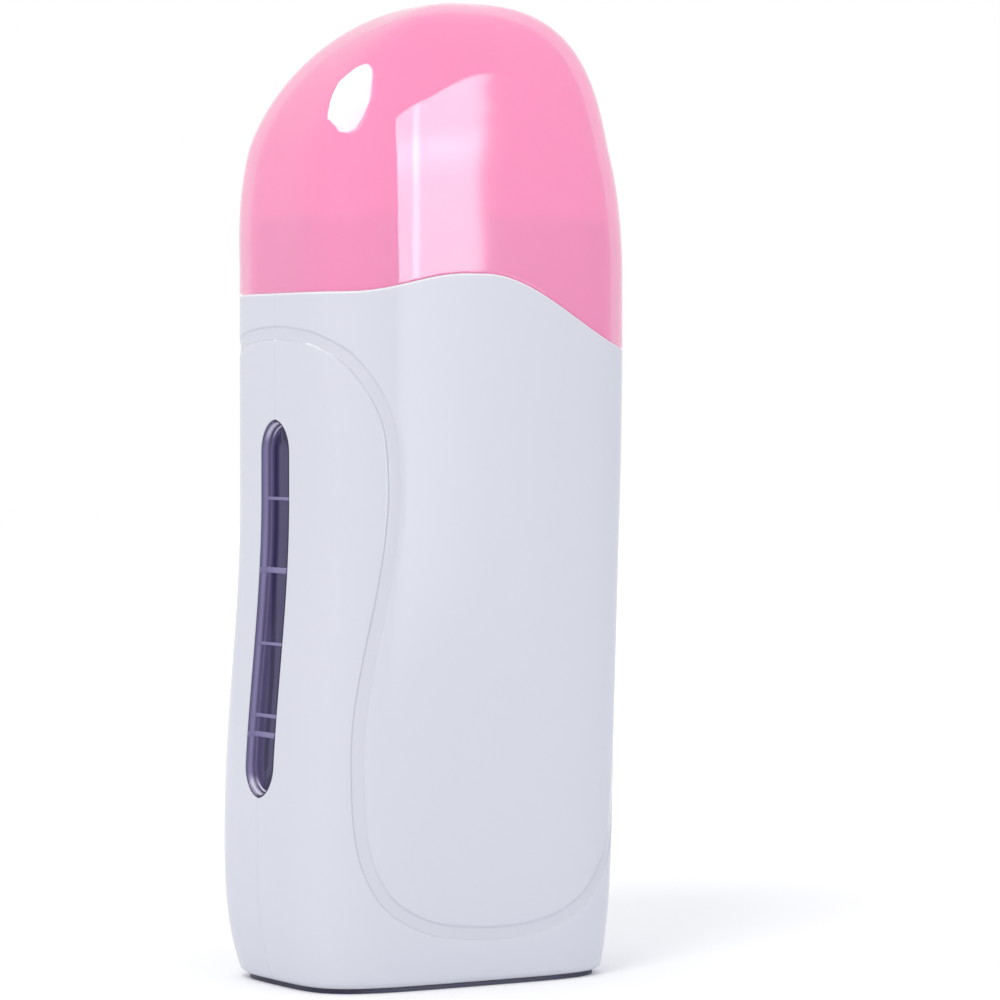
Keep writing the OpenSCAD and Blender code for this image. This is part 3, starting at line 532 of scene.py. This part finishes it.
# ---- Groove that runs round each wide face and over both narrow sides
groove = {
    "width": 4 * mm, "flat": 1.8 * mm, "depth": 0.18 * mm, "steps": 60,
    # its middle on one half, in mm: the way round from the window side's seam, and the height
    "points": [(0, 134.8), (9, 134.3), (17, 132.8), (24.8, 128.3), (31.7, 117.6), (33.5, 105), (33, 92.5),
               (31.6, 80.5), (29.9, 68.5), (28.8, 56), (29.1, 44), (30.5, 30.5), (33.5, 22.3),
               (38.2, 16.8), (47.5, 12.5), (62.4, 11.1), (75, 12.8), (84, 17.9), (90.6, 27),
               (93.6, 38), (94.4, 58), (94.6, 80), (95, 100), (97, 111.5), (103, 116.6)],
    "farTop": 117.8,
}


def smoothCurve(points, steps):  # passes through all but the first and the last point
    made = []
    for a, b, c, d in zip(points, points[1:], points[2:], points[3:]):
        for k in range(steps):
            u = k / steps
            made.append(0.5 * (2 * b + (c - a) * u + (2 * a - 5 * b + 4 * c - d) * u ** 2
                               + (3 * b - a - 3 * c + d) * u ** 3))
    return made


def makeGroove():
    fullWay = halfLength / mm
    points = [Vector(p) for p in groove["points"]]
    points.append(Vector((fullWay, groove["farTop"])))
    points.insert(0, Vector((-points[1].x, points[1].y)))
    points.append(Vector((2 * fullWay - points[-2].x, points[-2].y)))
    middle = smoothCurve(points, groove["steps"])
    tree = KDTree(len(middle))
    for k, point in enumerate(middle):
        tree.insert(casingPoint(turnAt(max(0.0, point.x) * mm), point.y * mm, 0), k)
    tree.balance()
    return tree, middle


grooveTree, grooveMiddle = makeGroove()


def grooveAside(point):  # distance from the groove's middle, below zero on the window's side of it
    point = Vector((point.x, -abs(point.y), point.z))
    left, right = sideX(point.z)
    turn = atan2(point.y / sideY(point.z), (point.x - (left + right) / 2) * 2 / (right - left))
    way = reachAt(turn % (2 * pi)) / mm
    _, k, away = grooveTree.find(point)
    k = min(max(k, 1), len(grooveMiddle) - 2)
    along = grooveMiddle[k + 1] - grooveMiddle[k - 1]
    across = along.x * (point.z / mm - grooveMiddle[k].y) - along.y * (way - grooveMiddle[k].x)
    return away if across > 0 else -away


def grooveDepth(point):
    away = grooveTree.find(point)[2]
    return groove["depth"] * (1 - ease(share(away, groove["flat"] / 2, groove["width"] / 2)))


def underLine(point):  # distance under the joint line
    turn = atan2(point.y / neck["halfDepth"], (point.x - neck["x"]) / neck["halfWidth"])
    return lineAt(turn) - point.z


# ---- Casing shells
shell = {
    "columns": 178, "rowStep": 0.66 * mm,
    "edgeShares": [0, 0.1, 0.32, 0.64, 1],  # columns and rows across a rounded edge
    "split": 121 * mm,  # the rows above follow the joint line
    "screwX": 24 * mm, "screwY": 14.5 * mm, "bossRadius": 3.2 * mm, "holeRadius": 1.45 * mm,
    "bossLow": 3 * mm, "bossHigh": 15 * mm, "bossSegments": 48, "holeCap": 1 * mm,
    "ribThick": 2 * mm, "ribLow": 5 * mm, "ribInset": 0.2 * mm,
    "ledgeThick": 2 * mm, "ledgeInset": 4 * mm, "ledgeSteps": 90,
    "footSteps": 6, "topShare": 0.95, "topStep": 0.033,
}


def shellRows():  # each row: a height, its share of the way to the joint line, and its drop under it
    foot, edge = casing["foot"], casing["footEdge"]
    steps = shell["footSteps"]
    heights = [foot + edge * (1 - cos(radians(90 * k / steps))) for k in range(steps + 1)]
    heights += evenRows(heights[-1], window["low"], shell["rowStep"])
    tip = tipRows(window["tipSteps"])
    heights += [window["low"] + rise for rise in tip[1:]]
    heights += evenRows(heights[-1], window["high"] - window["rise"], shell["rowStep"])
    heights += [window["high"] - rise for rise in reversed(tip[:-1])]
    heights += evenRows(heights[-1], shell["split"], shell["rowStep"])
    rows = [(z, 0, 0) for z in heights]
    rows += [(shell["split"], part, 0) for part in evenRows(0, shell["topShare"], shell["topStep"])]
    rows += [(shell["split"], 1, casing["topEdge"] * part) for part in reversed(shell["edgeShares"])]
    return rows


def shellColumn(column, start):  # way round from the seam or the slot's edge, and the edge's radius
    shares, columns, seam = shell["edgeShares"], shell["columns"], casing["seamEdge"]
    last = len(shares) - 1
    radius = seam + (casing["slotEdge"] - seam) * share(start, 0, 1 * mm)
    if column <= last:
        return radius * shares[column], radius
    if column >= columns - last:
        return halfLength - seam * shares[columns - column], radius
    part = (column - last) / (columns - 2 * last)
    return radius + (halfLength - radius - seam) * part, radius


def shellPoint(row, column, side, inner):
    base, part, drop = row
    half = slotHalf(base) if part == 0 and drop == 0 else 0.0
    start = 0.0
    if half > 0:
        level = min(1.0, half / sideY(base))
        start = reachAt(pi + windowTurn(level))
    way, radius = shellColumn(column, start)
    fade = (1 - share(way - radius, 0, halfLength / 2)) ** 3
    turn = turnAt(way + start * fade)
    line = lineAt(turn)
    z = base + (line - base) * part - drop
    if inner:
        point = casingPoint(turn, z, casing["wall"])
    else:
        inset = grooveDepth(casingPoint(turn, z, 0))
        inset += roundOff(z - casing["foot"], casing["footEdge"]) + roundOff(line - z, casing["topEdge"])
        inset += roundOff(way, radius) + roundOff(halfLength - way, casing["seamEdge"])
        point = casingPoint(turn, z, inset)
    point.y *= side
    if column == shell["columns"] or (column == 0 and half == 0):
        point.y = 0.0
    return point


def addFittings(bm, side):  # screw bosses with their ribs, and the ledge under the collar
    low, high, segments = shell["bossLow"], shell["bossHigh"], shell["bossSegments"]
    for x in (-shell["screwX"], shell["screwX"]):
        middle = Matrix.Translation((x, -side * shell["screwY"], (low + high) / 2))
        boss = bmesh.ops.create_cone(bm, cap_ends=True, segments=segments, radius1=shell["bossRadius"],
                                     radius2=shell["bossRadius"], depth=high - low, matrix=middle)
        foot = [f for f in bm.faces if len(f.verts) == segments and all(
            v in boss["verts"] and v.co.z < low + mm for v in f.verts)]
        bmesh.ops.inset_region(bm, faces=foot, thickness=shell["bossRadius"] - shell["holeRadius"])
        hole = bmesh.ops.extrude_discrete_faces(bm, faces=foot)["faces"]
        bmesh.ops.translate(bm, verts=hole[0].verts, vec=(0, 0, high - low - shell["holeCap"]))
        wall = sideY(low) - casing["wall"] / 2
        ends = sorted((-side * shell["ribInset"], -side * wall))
        addBox(bm, Vector((x - shell["ribThick"] / 2, ends[0], shell["ribLow"])),
               Vector((x + shell["ribThick"] / 2, ends[1], high)))
    corners = [(casing["wall"] / 2, 0), (shell["ledgeInset"], 0), (shell["ledgeInset"], 1),
               (casing["wall"] / 2, 1), (casing["wall"] / 2, 0)]

    def ledgePoint(column, row):
        inset, up = corners[row]
        z = collarLow.z - shell["ledgeThick"] * (1 - up)
        point = ovalPoint(turnAt(halfLength * column / shell["ledgeSteps"]), inset, z)
        point.y *= side
        return point

    ledge = gridMesh(shell["ledgeSteps"], 4, ledgePoint)
    closeEnds(ledge, 4)
    addMesh(bm, ledge)


def makeShell(name, side):
    rows = shellRows()
    bm = closedSkins(shell["columns"], len(rows) - 1,
                     lambda j, i, inner: shellPoint(rows[i], j, side, inner))
    bmesh.ops.recalc_face_normals(bm, faces=bm.faces)
    addFittings(bm, side)
    piece = finishMesh(bm, name)
    paintMap(piece, "grooveAside", grooveAside)
    paintMap(piece, "underLine", underLine)
    return piece


frontShell = makeShell("frontShell", 1)
dress(frontShell, "casing", "shell_plastic", shellPlastic, "front_shell")


# The rear shell is the same, with the holes for the inlet and the indicator
inletLow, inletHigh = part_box("inlet_housing")
lensLow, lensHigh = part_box("indicator_lens")
rearHoles = {"inletWidth": 17.4 * mm, "inletHeight": 11.2 * mm, "lensRadius": 2.1 * mm, "segments": 48,
             "through": 20 * mm}


def makeHoleCutter():
    bm = bmesh.new()

    def addRod(middle, radius):
        place = Matrix.Translation((middle.x, neck["halfDepth"], middle.z))
        return bmesh.ops.create_cone(
            bm, cap_ends=True, segments=rearHoles["segments"], radius1=radius, radius2=radius,
            depth=rearHoles["through"], matrix=place @ Matrix.Rotation(radians(90), 4, "X"))["verts"]

    middle = (inletLow + inletHigh) / 2
    flat = rearHoles["inletWidth"] / 2 - rearHoles["inletHeight"] / 2
    for v in addRod(middle, rearHoles["inletHeight"] / 2):
        v.co.x += flat if v.co.x > middle.x else -flat
    addRod((lensLow + lensHigh) / 2, rearHoles["lensRadius"])
    return finishMesh(bm, "holeCutter")


def cutHoles(piece, cutter):
    step = piece.modifiers.new("holes", "BOOLEAN")
    step.object = cutter
    step.solver = "EXACT"
    shape = piece.evaluated_get(bpy.context.evaluated_depsgraph_get())
    cut = bpy.data.meshes.new_from_object(shape)
    piece.modifiers.clear()
    old, piece.data = piece.data, cut
    bpy.data.meshes.remove(old)
    cut.name = piece.name
    bpy.data.objects.remove(cutter)


rearShell = makeShell("rearShell", -1)
cutHoles(rearShell, makeHoleCutter())
dress(rearShell, "casing", "shell_plastic", shellPlastic, "rear_shell")


# ---- Cap: a straight skirt over the joint line, and a dome with its crown off the middle
capLow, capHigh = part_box("cap")
cap = {
    "columns": 240, "wall": 2 * mm, "gap": 0.06 * mm,
    "domeFoot": 149 * mm, "top": capHigh.z, "fullness": 2.38,
    "crownFrom": 173 * mm, "crownShift": 7.2 * mm, "crownPower": 1.4, "shoulderShift": 0.6 * mm,
    "edgeOut": 0.35 * mm, "edgeIn": 0.4 * mm, "edgeSteps": 5,
    "skirtRows": 22, "domeRows": 84, "innerSkirtRows": 12, "innerDomeRows": 48, "sharpAngle": 60,
}


def capRows():  # ("dome", way to the crown, inset), or ("skirt", share of it, height over its edge, inset)
    quarter = [radians(90 * k / cap["edgeSteps"]) for k in range(cap["edgeSteps"] + 1)]
    rows = [("dome", 1 - k / cap["domeRows"], 0) for k in range(cap["domeRows"])]
    rows += [("skirt", 1 - k / cap["skirtRows"], cap["edgeOut"], 0) for k in range(cap["skirtRows"])]
    rows += [("skirt", 0, cap["edgeOut"] * (1 - sin(a)), cap["edgeOut"] * (1 - cos(a))) for a in quarter]
    rows += [("skirt", 0, cap["edgeIn"] * (1 - cos(a)), cap["wall"] - cap["edgeIn"] * (1 - sin(a)))
             for a in quarter]
    count = cap["innerSkirtRows"]
    rows += [("skirt", k / count, cap["edgeIn"], cap["wall"]) for k in range(1, count + 1)]
    rows += [("dome", k / cap["innerDomeRows"], cap["wall"]) for k in range(1, cap["innerDomeRows"] + 1)]
    return rows


def capPoint(row, turn):
    if row[0] == "skirt":
        part, over, inset = row[1:]
        low = lineAt(turn) + cap["gap"]
        return ovalPoint(turn, inset, low + over + (cap["domeFoot"] - low - over) * part)
    way, inset = row[1:]
    up = sin(pi / 2 * way) ** (2 / cap["fullness"])
    across = max(0.0, cos(pi / 2 * way)) ** (2 / cap["fullness"]) if way < 1 else 0.0
    z = cap["domeFoot"] + (cap["top"] - inset - cap["domeFoot"]) * up
    x, y = ovalUnit(turn)
    shift = cap["crownShift"] * share(z, cap["crownFrom"], cap["top"]) ** cap["crownPower"]
    shift -= cap["shoulderShift"] * sin(pi * share(z, cap["domeFoot"], cap["top"]))
    return Vector((neck["x"] + shift + (neck["halfWidth"] - inset) * across * x,
                   (neck["halfDepth"] - inset) * across * y, z))


def makeCap():
    return finishMesh(sweepRound(capRows(), cap["columns"], capPoint), "domedCap", cap["sharpAngle"])


domedCap = makeCap()
dress(domedCap, "cap", "cap_plastic", capPlastic, "cap")


# ---- Collar that the cap slides over, with the throat round the well's rim
wellLow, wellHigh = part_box("heating_well")
throat = {"halfWidth": 30.2 * mm, "halfDepth": 20.7 * mm, "corner": 15 * mm}
collar = {
    "columns": 240, "flange": collarFlange, "flangeHigh": 3 * mm, "inset": 3.2 * mm, "wall": 1.8 * mm,
    "deck": 2.4 * mm, "shelf": 2 * mm, "shelfUnder": 1.2 * mm, "throatWall": 1.4 * mm,
    "narrow": 1.8 * mm, "rounding": 1.1 * mm, "lip": 0.6 * mm, "steps": 5, "sharpAngle": 32,
    "wallRows": 9, "wallParts": 12,  # rows up the wall, in twelfths of the collar's height
}


def roundedPoint(turn, halfWidth, halfDepth, corner, z):  # rounded oblong, at the angle of the oval's point
    x, y = ovalUnit(turn)
    x, y = x * neck["halfWidth"], y * neck["halfDepth"]
    c, s = abs(x) / hypot(x, y), abs(y) / hypot(x, y)
    reach = min(halfWidth / max(c, 1e-9), halfDepth / max(s, 1e-9))
    cx, cy = halfWidth - corner, halfDepth - corner
    if reach * c > cx and reach * s > cy:
        along = c * cx + s * cy
        reach = along + sqrt(max(0.0, along ** 2 - cx ** 2 - cy ** 2 + corner ** 2))
    return Vector((neck["x"] + reach * c * (1 if x >= 0 else -1), reach * s * (1 if y >= 0 else -1), z))


def collarRows():  # ("oval", inset, height) or ("throat", growth, height), round the section
    top, foot, inset, wall = collarHigh.z, collarLow.z, collar["inset"], collar["wall"]
    quarter = [radians(90 * k / collar["steps"]) for k in range(collar["steps"] + 1)]
    radius, lip, shelfTop = collar["rounding"], collar["lip"], wellHigh.z - collar["shelfUnder"]
    rows = [("oval", collar["flange"], foot), ("oval", collar["flange"], foot + collar["flangeHigh"]),
            ("oval", inset, foot + collar["flangeHigh"])]
    rows += [("oval", inset, foot + collar["flangeHigh"] + (top - foot) * k / collar["wallParts"])
             for k in range(1, collar["wallRows"] + 1)]
    rows += [("oval", inset + radius * (1 - cos(a)), top - radius * (1 - sin(a))) for a in quarter]
    rows += [("throat", lip * (1 - sin(a)), top - lip * (1 - cos(a))) for a in quarter]
    rows += [("throat", 0, shelfTop), ("throat", -collar["narrow"], shelfTop),
             ("throat", -collar["narrow"], shelfTop - collar["shelf"]),
             ("throat", collar["throatWall"], shelfTop - collar["shelf"]),
             ("throat", collar["throatWall"], top - collar["deck"]),
             ("oval", inset + wall, top - collar["deck"]), ("oval", inset + wall, foot)]
    return rows + rows[:1]


def collarPoint(row, turn):
    kind, size, z = row
    if kind == "oval":
        return ovalPoint(turn, size, z)
    return roundedPoint(turn, throat["halfWidth"] + size, throat["halfDepth"] + size,
                        throat["corner"] + size, z)


def makeCollar():
    bm = sweepRound(collarRows(), collar["columns"], collarPoint)
    return finishMesh(bm, "neckCollar", collar["sharpAngle"])


neckCollar = makeCollar()
dress(neckCollar, "casing", "collar_plastic", collarPlastic, "neck_collar")


# ---- Level window: a sunk lens with a bevelled rim, and raised level marks
lens = {
    # distance from the lens's edge, and depth under the casing's surface
    "profile": [(0, 0.3), (0.08, 0.13), (0.26, 0.1), (0.36, 0.17), (0.46, 0.36), (1.06, 1.7), (1.2, 1.88),
                (1.4, 1.96), (2.2, 2.0), (6.1, 2.0)],
    "columns": [0, 0.08, 0.17, 0.26, 0.36, 0.46, 0.6, 0.75, 0.9, 1.06, 1.2, 1.4, 1.8, 2.2, 2.8, 3.4, 4.0,
                4.7, 5.4, 6.1],
    "back": 2.9 * mm, "flangeOut": 2.3 * mm, "flangeIn": 3.5 * mm, "flangeHalf": 8.3 * mm,
    "rowStep": 0.7 * mm, "tipSteps": 16, "flangeRows": 40, "sharpAngle": 50,
    # each mark: its height as a share of the window, its half length and its width
    "marks": [(0.79, 5.2, 0.7), (0.6, 5.7, 1.2), (0.405, 5.4, 0.7), (0.215, 5.3, 0.8), (0.165, 5.7, 1.1)],
    "markRise": 0.2 * mm, "markColumns": 72, "markSharpAngle": 60,
    # a mark's section: place across it in widths, and fall under its top in twice the rise
    "markSection": [(-0.5, 1.2), (-0.5, 0.35), (-0.3, 0), (0.3, 0), (0.5, 0.35), (0.5, 1.2)],
}


def lensDepth(away):
    for (a, low), (b, high) in zip(lens["profile"], lens["profile"][1:]):
        if away <= b * mm:
            return (low + (high - low) * share(away, a * mm, b * mm)) * mm
    return lens["profile"][-1][1] * mm


def windowPoint(y, z, depth):  # point under the casing's surface in the window side
    level = min(1.0, abs(y) / (sideY(z) - depth))
    return Vector((casingPoint(pi + windowTurn(level), z, depth).x, y, z))


def fromEdge(point):  # distance from the lens's edge
    away = window["arc"] - window["gap"] - hypot(abs(point.y) + window["offset"], pastStraight(point.z))
    return max(0.0, away)


def acrossLens(point):  # the same, counted on over the middle to the front edge
    away = fromEdge(point)
    return away if point.y > 0 else window["width"] - away


def pastEnds(point):
    straight = window["low"] + window["rise"], window["high"] - window["rise"]
    return max(straight[0] - point.z, point.z - straight[1])


def lensSurface(y, z):
    return lensDepth(fromEdge(Vector((0, y, z))))


def makeLens():
    gap, steps = window["gap"], lens["columns"]
    tip = tipRows(lens["tipSteps"])
    heights = [window["low"] + gap + rise for rise in tip]
    heights += evenRows(heights[-1], window["high"] - gap - window["rise"], lens["rowStep"])
    heights += [window["high"] - gap - rise for rise in reversed(tip[:-1])]
    last = len(steps) - 1

    def place(column, row, back):
        z = heights[row]
        inset = gap + steps[min(column, 2 * last - column)] * mm
        y = slotHalf(z, inset) * (1 if column > last else -1)
        return windowPoint(y, z, lens["back"] if back else lensSurface(y, z))

    bm = closedSkins(2 * last, len(heights) - 1, place)
    bmesh.ops.remove_doubles(bm, verts=bm.verts, dist=weldReach)
    spread = window["high"] - window["low"] + 2 * window["flange"]

    def flangePoint(column, row):  # round the flange's section
        y = lens["flangeHalf"] * (-1 if column in (0, 3, 4) else 1)
        depth = lens["flangeOut"] if column in (0, 1, 4) else lens["flangeIn"]
        return windowPoint(y, window["low"] - window["flange"] + spread * row / lens["flangeRows"], depth)

    flange = gridMesh(4, lens["flangeRows"], flangePoint)
    closeEnds(flange, 4)
    addMesh(bm, flange)
    piece = finishMesh(bm, "windowLens", lens["sharpAngle"])
    paintMap(piece, "fromEdge", fromEdge)
    paintMap(piece, "acrossLens", acrossLens)
    paintMap(piece, "pastStraight", pastEnds)
    return piece


def makeMarks():
    bm = bmesh.new()
    for part, half, width in lens["marks"]:
        middle = window["low"] + (window["high"] - window["low"]) * part
        columns, across = lens["markColumns"], lens["markSection"]

        def place(column, row):
            y = half * mm * (2 * column / columns - 1)
            side, fall = across[row % len(across)]
            z = middle + side * width * mm
            return windowPoint(y, z, lensSurface(y, z) + lens["markRise"] * (2 * fall - 1))

        bar = gridMesh(columns, len(across), place)
        closeEnds(bar, len(across))
        addMesh(bm, bar)
    return finishMesh(bm, "levelMarks", lens["markSharpAngle"])


windowLens = makeLens()
dress(windowLens, "casing", "window_clear", windowPlastic, "level_window")
levelMarks = makeMarks()
dress(levelMarks, "casing", "window_clear", markPlastic)


# ---- Finishes of the pieces that stay as they are
def assign(material, *names):
    for name in names:
        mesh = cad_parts[name].data
        mesh.materials.clear()
        mesh.materials.append(material)


# painted shadow: the base cover is dark navy so that its edge shows as the shadow line under the casing's
# foot
assign(mouldedMaterial("baseInPaintedShadow", (0.022, 0.022, 0.060), (0.030, 0.030, 0.072), 0.5, bump=0.01 * mm),
       "base_cover")
assign(metalMaterial("zincSteel", (0.62, 0.63, 0.66), (0.42, 0.43, 0.47), 0.3, lines=(700, 700, 700)),
       "base_screws", "cradle_screws")
assign(metalMaterial("wellAluminium", (0.82, 0.83, 0.85), (0.60, 0.61, 0.64), 0.34), "heating_well")
assign(mouldedMaterial("cradlePlastic", (0.035, 0.035, 0.040), (0.050, 0.048, 0.050), 0.55), "well_cradle")
assign(metalMaterial("heaterCase", (0.86, 0.62, 0.24), (0.62, 0.42, 0.15), 0.36, lines=(300, 300, 90)),
       "heater_plate_front", "heater_plate_rear")
assign(metalMaterial("springSteel", (0.42, 0.46, 0.56), (0.22, 0.26, 0.38), 0.28),
       "heater_spring_front", "heater_spring_rear", "thermostat_spring")
assign(mouldedMaterial("thermostatCase", (0.018, 0.018, 0.020), (0.030, 0.030, 0.032), 0.38), "thermostat")
assign(mouldedMaterial("fuseLacquer", (0.42, 0.24, 0.12), (0.34, 0.19, 0.10), 0.3), "thermal_fuse")
assign(mouldedMaterial("sleeveFibre", (0.78, 0.74, 0.64), (0.66, 0.62, 0.52), 0.8, grain=2600.0,
                       bump=0.06 * mm), "fuse_sleeve")
assign(mouldedMaterial("inletPlastic", (0.030, 0.030, 0.036), (0.045, 0.045, 0.050), 0.42), "inlet_housing")
assign(metalMaterial("pinPlating", (0.80, 0.74, 0.60), (0.62, 0.56, 0.44), 0.22, lines=(500, 60, 500)),
       "inlet_pins")
assign(mouldedMaterial("boardLaminate", (0.030, 0.150, 0.050), (0.050, 0.190, 0.070), 0.34, grain=1200.0,
                       Coat_Weight=0.4), "indicator_board")
assign(mouldedMaterial("lampRed", (0.62, 0.020, 0.020), (0.52, 0.015, 0.015), 0.12), "indicator_led")
assign(mouldedMaterial("lensRed", (0.70, 0.045, 0.040), (0.58, 0.030, 0.030), 0.14, Alpha=0.9),
       "indicator_lens")
assign(mouldedMaterial("resistorLacquer", (0.62, 0.46, 0.26), (0.52, 0.37, 0.20), 0.4), "board_resistor")
assign(mouldedMaterial("wireBrown", (0.16, 0.055, 0.025), (0.12, 0.040, 0.018), 0.48),
       "lead_live", "lead_link", "lead_heater", "bridge_live", "board_lead_live")
assign(mouldedMaterial("wireBlue", (0.030, 0.090, 0.360), (0.022, 0.070, 0.300), 0.48),
       "lead_neutral", "bridge_neutral", "board_lead_neutral")
print("finishes assigned")


# ---- Camera: level with the upper part of the casing, to the left of the wide face
view = {
    "aside": 30.5, "distance": 940 * mm, "eye": 121 * mm, "pixelsPerMetre": 4750.0,
    "imageWidth": 1000, "sensor": 36.0, "axis": 2 * mm, "axisX": 431, "horizonY": 400,
}


def makeCamera():
    side = radians(view["aside"])
    axis = Vector((view["axis"], 0, 0))
    outwards = Vector((-sin(side), -cos(side), 0))
    rightwards = Vector((cos(side), -sin(side), 0))
    spot = axis + outwards * view["distance"] + Vector((0, 0, view["eye"]))
    middle = view["imageWidth"] / 2
    aim = axis + rightwards * ((middle - view["axisX"]) / view["pixelsPerMetre"])
    aim.z = view["eye"] - (middle - view["horizonY"]) / view["pixelsPerMetre"]
    data = bpy.data.cameras.new("studioCamera")
    data.sensor_width = view["sensor"]
    data.lens = view["pixelsPerMetre"] * view["distance"] / view["imageWidth"] * view["sensor"]
    camera = bpy.data.objects.new("studioCamera", data)
    camera.location = spot
    camera.rotation_euler = (aim - spot).to_track_quat("-Z", "Y").to_euler()
    bpy.context.scene.collection.objects.link(camera)
    bpy.context.scene.camera = camera


makeCamera()


# ---- Studio: white floor and surround, a soft lamp, and two panels that only gloss shows
studio = {
    "middle": Vector((0, 0, 150 * mm)),
    "floorSize": 6.0, "floorColour": (0.96, 0.967, 0.985), "floorRoughness": 0.9,
    # the floor's glow, which lights nothing, near the heater and away from it
    "glowNear": 0.04, "glowFar": 0.32, "glowFrom": 0.12, "glowTo": 0.6,
    "ambient": (0.90, 0.905, 0.92),
    # direction round from the front, height angle, distance, size, power and colour
    "lamp": (-52, 48, 1.6, 0.5, 6.0, (1.0, 0.94, 0.82)),
}
# A panel faces the middle from its own direction; its rows are (up, left edge, right edge) in mm
softbox = {
    "aside": 22, "up": 0, "away": 1.2, "glow": 9.4,
    "peak": (430, 170, 1.31),  # brighter strip across: its height, half width, and how much brighter
    "streak": (-42, 0.11, 45, 1.65),  # brighter strip upwards: place across, lean, half width, how much
    "rows": [(-149, -205, 157), (-93, -208, 173), (-41, -212, 177), (40, -222, 178), (152, -216, 181),
             (236, -213, 188.5), (325, -212, 200), (425, -210, 218.5), (618, -221, 265), (797, -233, 321),
             (836, -236, 333), (860, 171, 342), (949, 297, 374), (1030, 372, 407), (1111, 428, 443),
             (1166, 467, 468)],
}
skyPanel = {
    "aside": -80, "up": 55, "away": 1.2, "glow": 18.0, "peak": (0, 1, 1), "streak": (0, 0, 1, 1),
    "rows": [(-322, -197, -190), (-303, -258, 169), (-200, -589, 471), (-44, -1091, 554), (2, -1138, 579),
             (183, -1323, 519), (356, -1499, 14), (380, -1512, -56), (504, -1576, -586), (582, -1617, -1138),
             (599, -1626, -1600)],
}


def direction(aside, up):
    a, e = radians(aside), radians(up)
    return Vector((sin(a) * cos(e), -cos(a) * cos(e), sin(e)))


def whenSeen(tree):  # 1 where the camera, gloss or clear plastic shows a surface
    path = addNode(tree, "ShaderNodeLightPath")
    seen = doMath(tree, "MAXIMUM", path.outputs["Is Camera Ray"], path.outputs["Is Glossy Ray"])
    return doMath(tree, "MAXIMUM", seen, path.outputs["Is Transmission Ray"])


def makeFloor():
    bm = bmesh.new()
    bmesh.ops.create_grid(bm, x_segments=1, y_segments=1, size=studio["floorSize"] / 2)
    floor = finishMesh(bm, "floor")
    material, tree = newMaterial("floorPaper")
    shader = tree.nodes["Principled BSDF"]
    shader.inputs["Base Color"].default_value = (*studio["floorColour"], 1)
    shader.inputs["Roughness"].default_value = studio["floorRoughness"]
    shader.inputs["Specular IOR Level"].default_value = 0
    spot = addNode(tree, "ShaderNodeTexCoord").outputs["Object"]
    away = addNode(tree, "ShaderNodeVectorMath", {0: spot}, operation="LENGTH").outputs["Value"]
    lift = addNode(tree, "ShaderNodeMapRange", {
        "Value": away, "From Min": studio["glowFrom"], "From Max": studio["glowTo"],
        "To Min": studio["glowNear"], "To Max": studio["glowFar"]}, interpolation_type="SMOOTHSTEP")
    glow = addNode(tree, "ShaderNodeEmission", {"Color": (1, 1, 1, 1)})
    tree.links.new(doMath(tree, "MULTIPLY", whenSeen(tree), lift.outputs["Result"]), glow.inputs["Strength"])
    both = addNode(tree, "ShaderNodeAddShader", {0: shader.outputs[0], 1: glow.outputs[0]})
    tree.links.new(both.outputs[0], tree.nodes["Material Output"].inputs["Surface"])
    floor.data.materials.append(material)


def makeSurround():
    world = bpy.data.worlds.new("studioSurround")
    world.use_nodes = True
    tree = world.node_tree
    back = tree.nodes["Background"]
    tree.links.new(mixColour(tree, whenSeen(tree), (*studio["ambient"], 1), (1, 1, 1, 1)),
                   back.inputs["Color"])
    back.inputs["Strength"].default_value = 1
    bpy.context.scene.world = world


def makePanel(name, panel):
    out = direction(panel["aside"], panel["up"])
    across = direction(panel["aside"] + 90, 0)
    upwards = out.cross(across)
    middle = studio["middle"] + out * panel["away"]
    rows = panel["rows"]
    piece = finishMesh(gridMesh(1, len(rows) - 1, lambda j, i: (
        middle + across * rows[i][1 + j] * mm + upwards * rows[i][0] * mm)), name)
    paintMap(piece, "acrossPanel", lambda point: (point - middle).dot(across))
    paintMap(piece, "upPanel", lambda point: (point - middle).dot(upwards))
    material, tree = newMaterial(name + "Glow")
    tree.nodes.remove(tree.nodes["Principled BSDF"])
    aside = painted(tree, "acrossPanel")
    up = painted(tree, "upPanel")

    def strip(along, place, half, gain):
        off = doMath(tree, "ABSOLUTE", doMath(tree, "SUBTRACT", along, place * mm), 0.0)
        inside = oneMinus(tree, mapSmooth(tree, off, 0.0, half * mm))
        return doMath(tree, "ADD", 1.0, doMath(tree, "MULTIPLY", inside, gain - 1))

    place, lean, half, gain = panel["streak"]
    upright = doMath(tree, "SUBTRACT", aside, doMath(tree, "MULTIPLY", up, lean))
    both = doMath(tree, "MULTIPLY", strip(up, *panel["peak"]), strip(upright, place, half, gain))
    glow = addNode(tree, "ShaderNodeEmission", {"Color": (1, 1, 1, 1)})
    tree.links.new(doMath(tree, "MULTIPLY", both, panel["glow"]), glow.inputs["Strength"])
    tree.links.new(glow.outputs[0], tree.nodes["Material Output"].inputs["Surface"])
    piece.data.materials.append(material)
    piece.visible_camera = piece.visible_diffuse = piece.visible_shadow = False


def makeLamp(aside, up, away, size, power, colour):
    data = bpy.data.lights.new("windowLamp", "AREA")
    data.shape = "DISK"
    data.size = size
    data.energy = power
    data.color = colour
    lamp = bpy.data.objects.new("windowLamp", data)
    lamp.location = studio["middle"] + direction(aside, up) * away
    lamp.rotation_euler = (-direction(aside, up)).to_track_quat("-Z", "Y").to_euler()
    lamp.visible_camera = lamp.visible_glossy = False
    bpy.context.scene.collection.objects.link(lamp)


makeFloor()
makeSurround()
makePanel("softbox", softbox)
makePanel("skyPanel", skyPanel)
makeLamp(*studio["lamp"])
bpy.context.scene.view_settings.view_transform = "Standard"
print("studio ready")
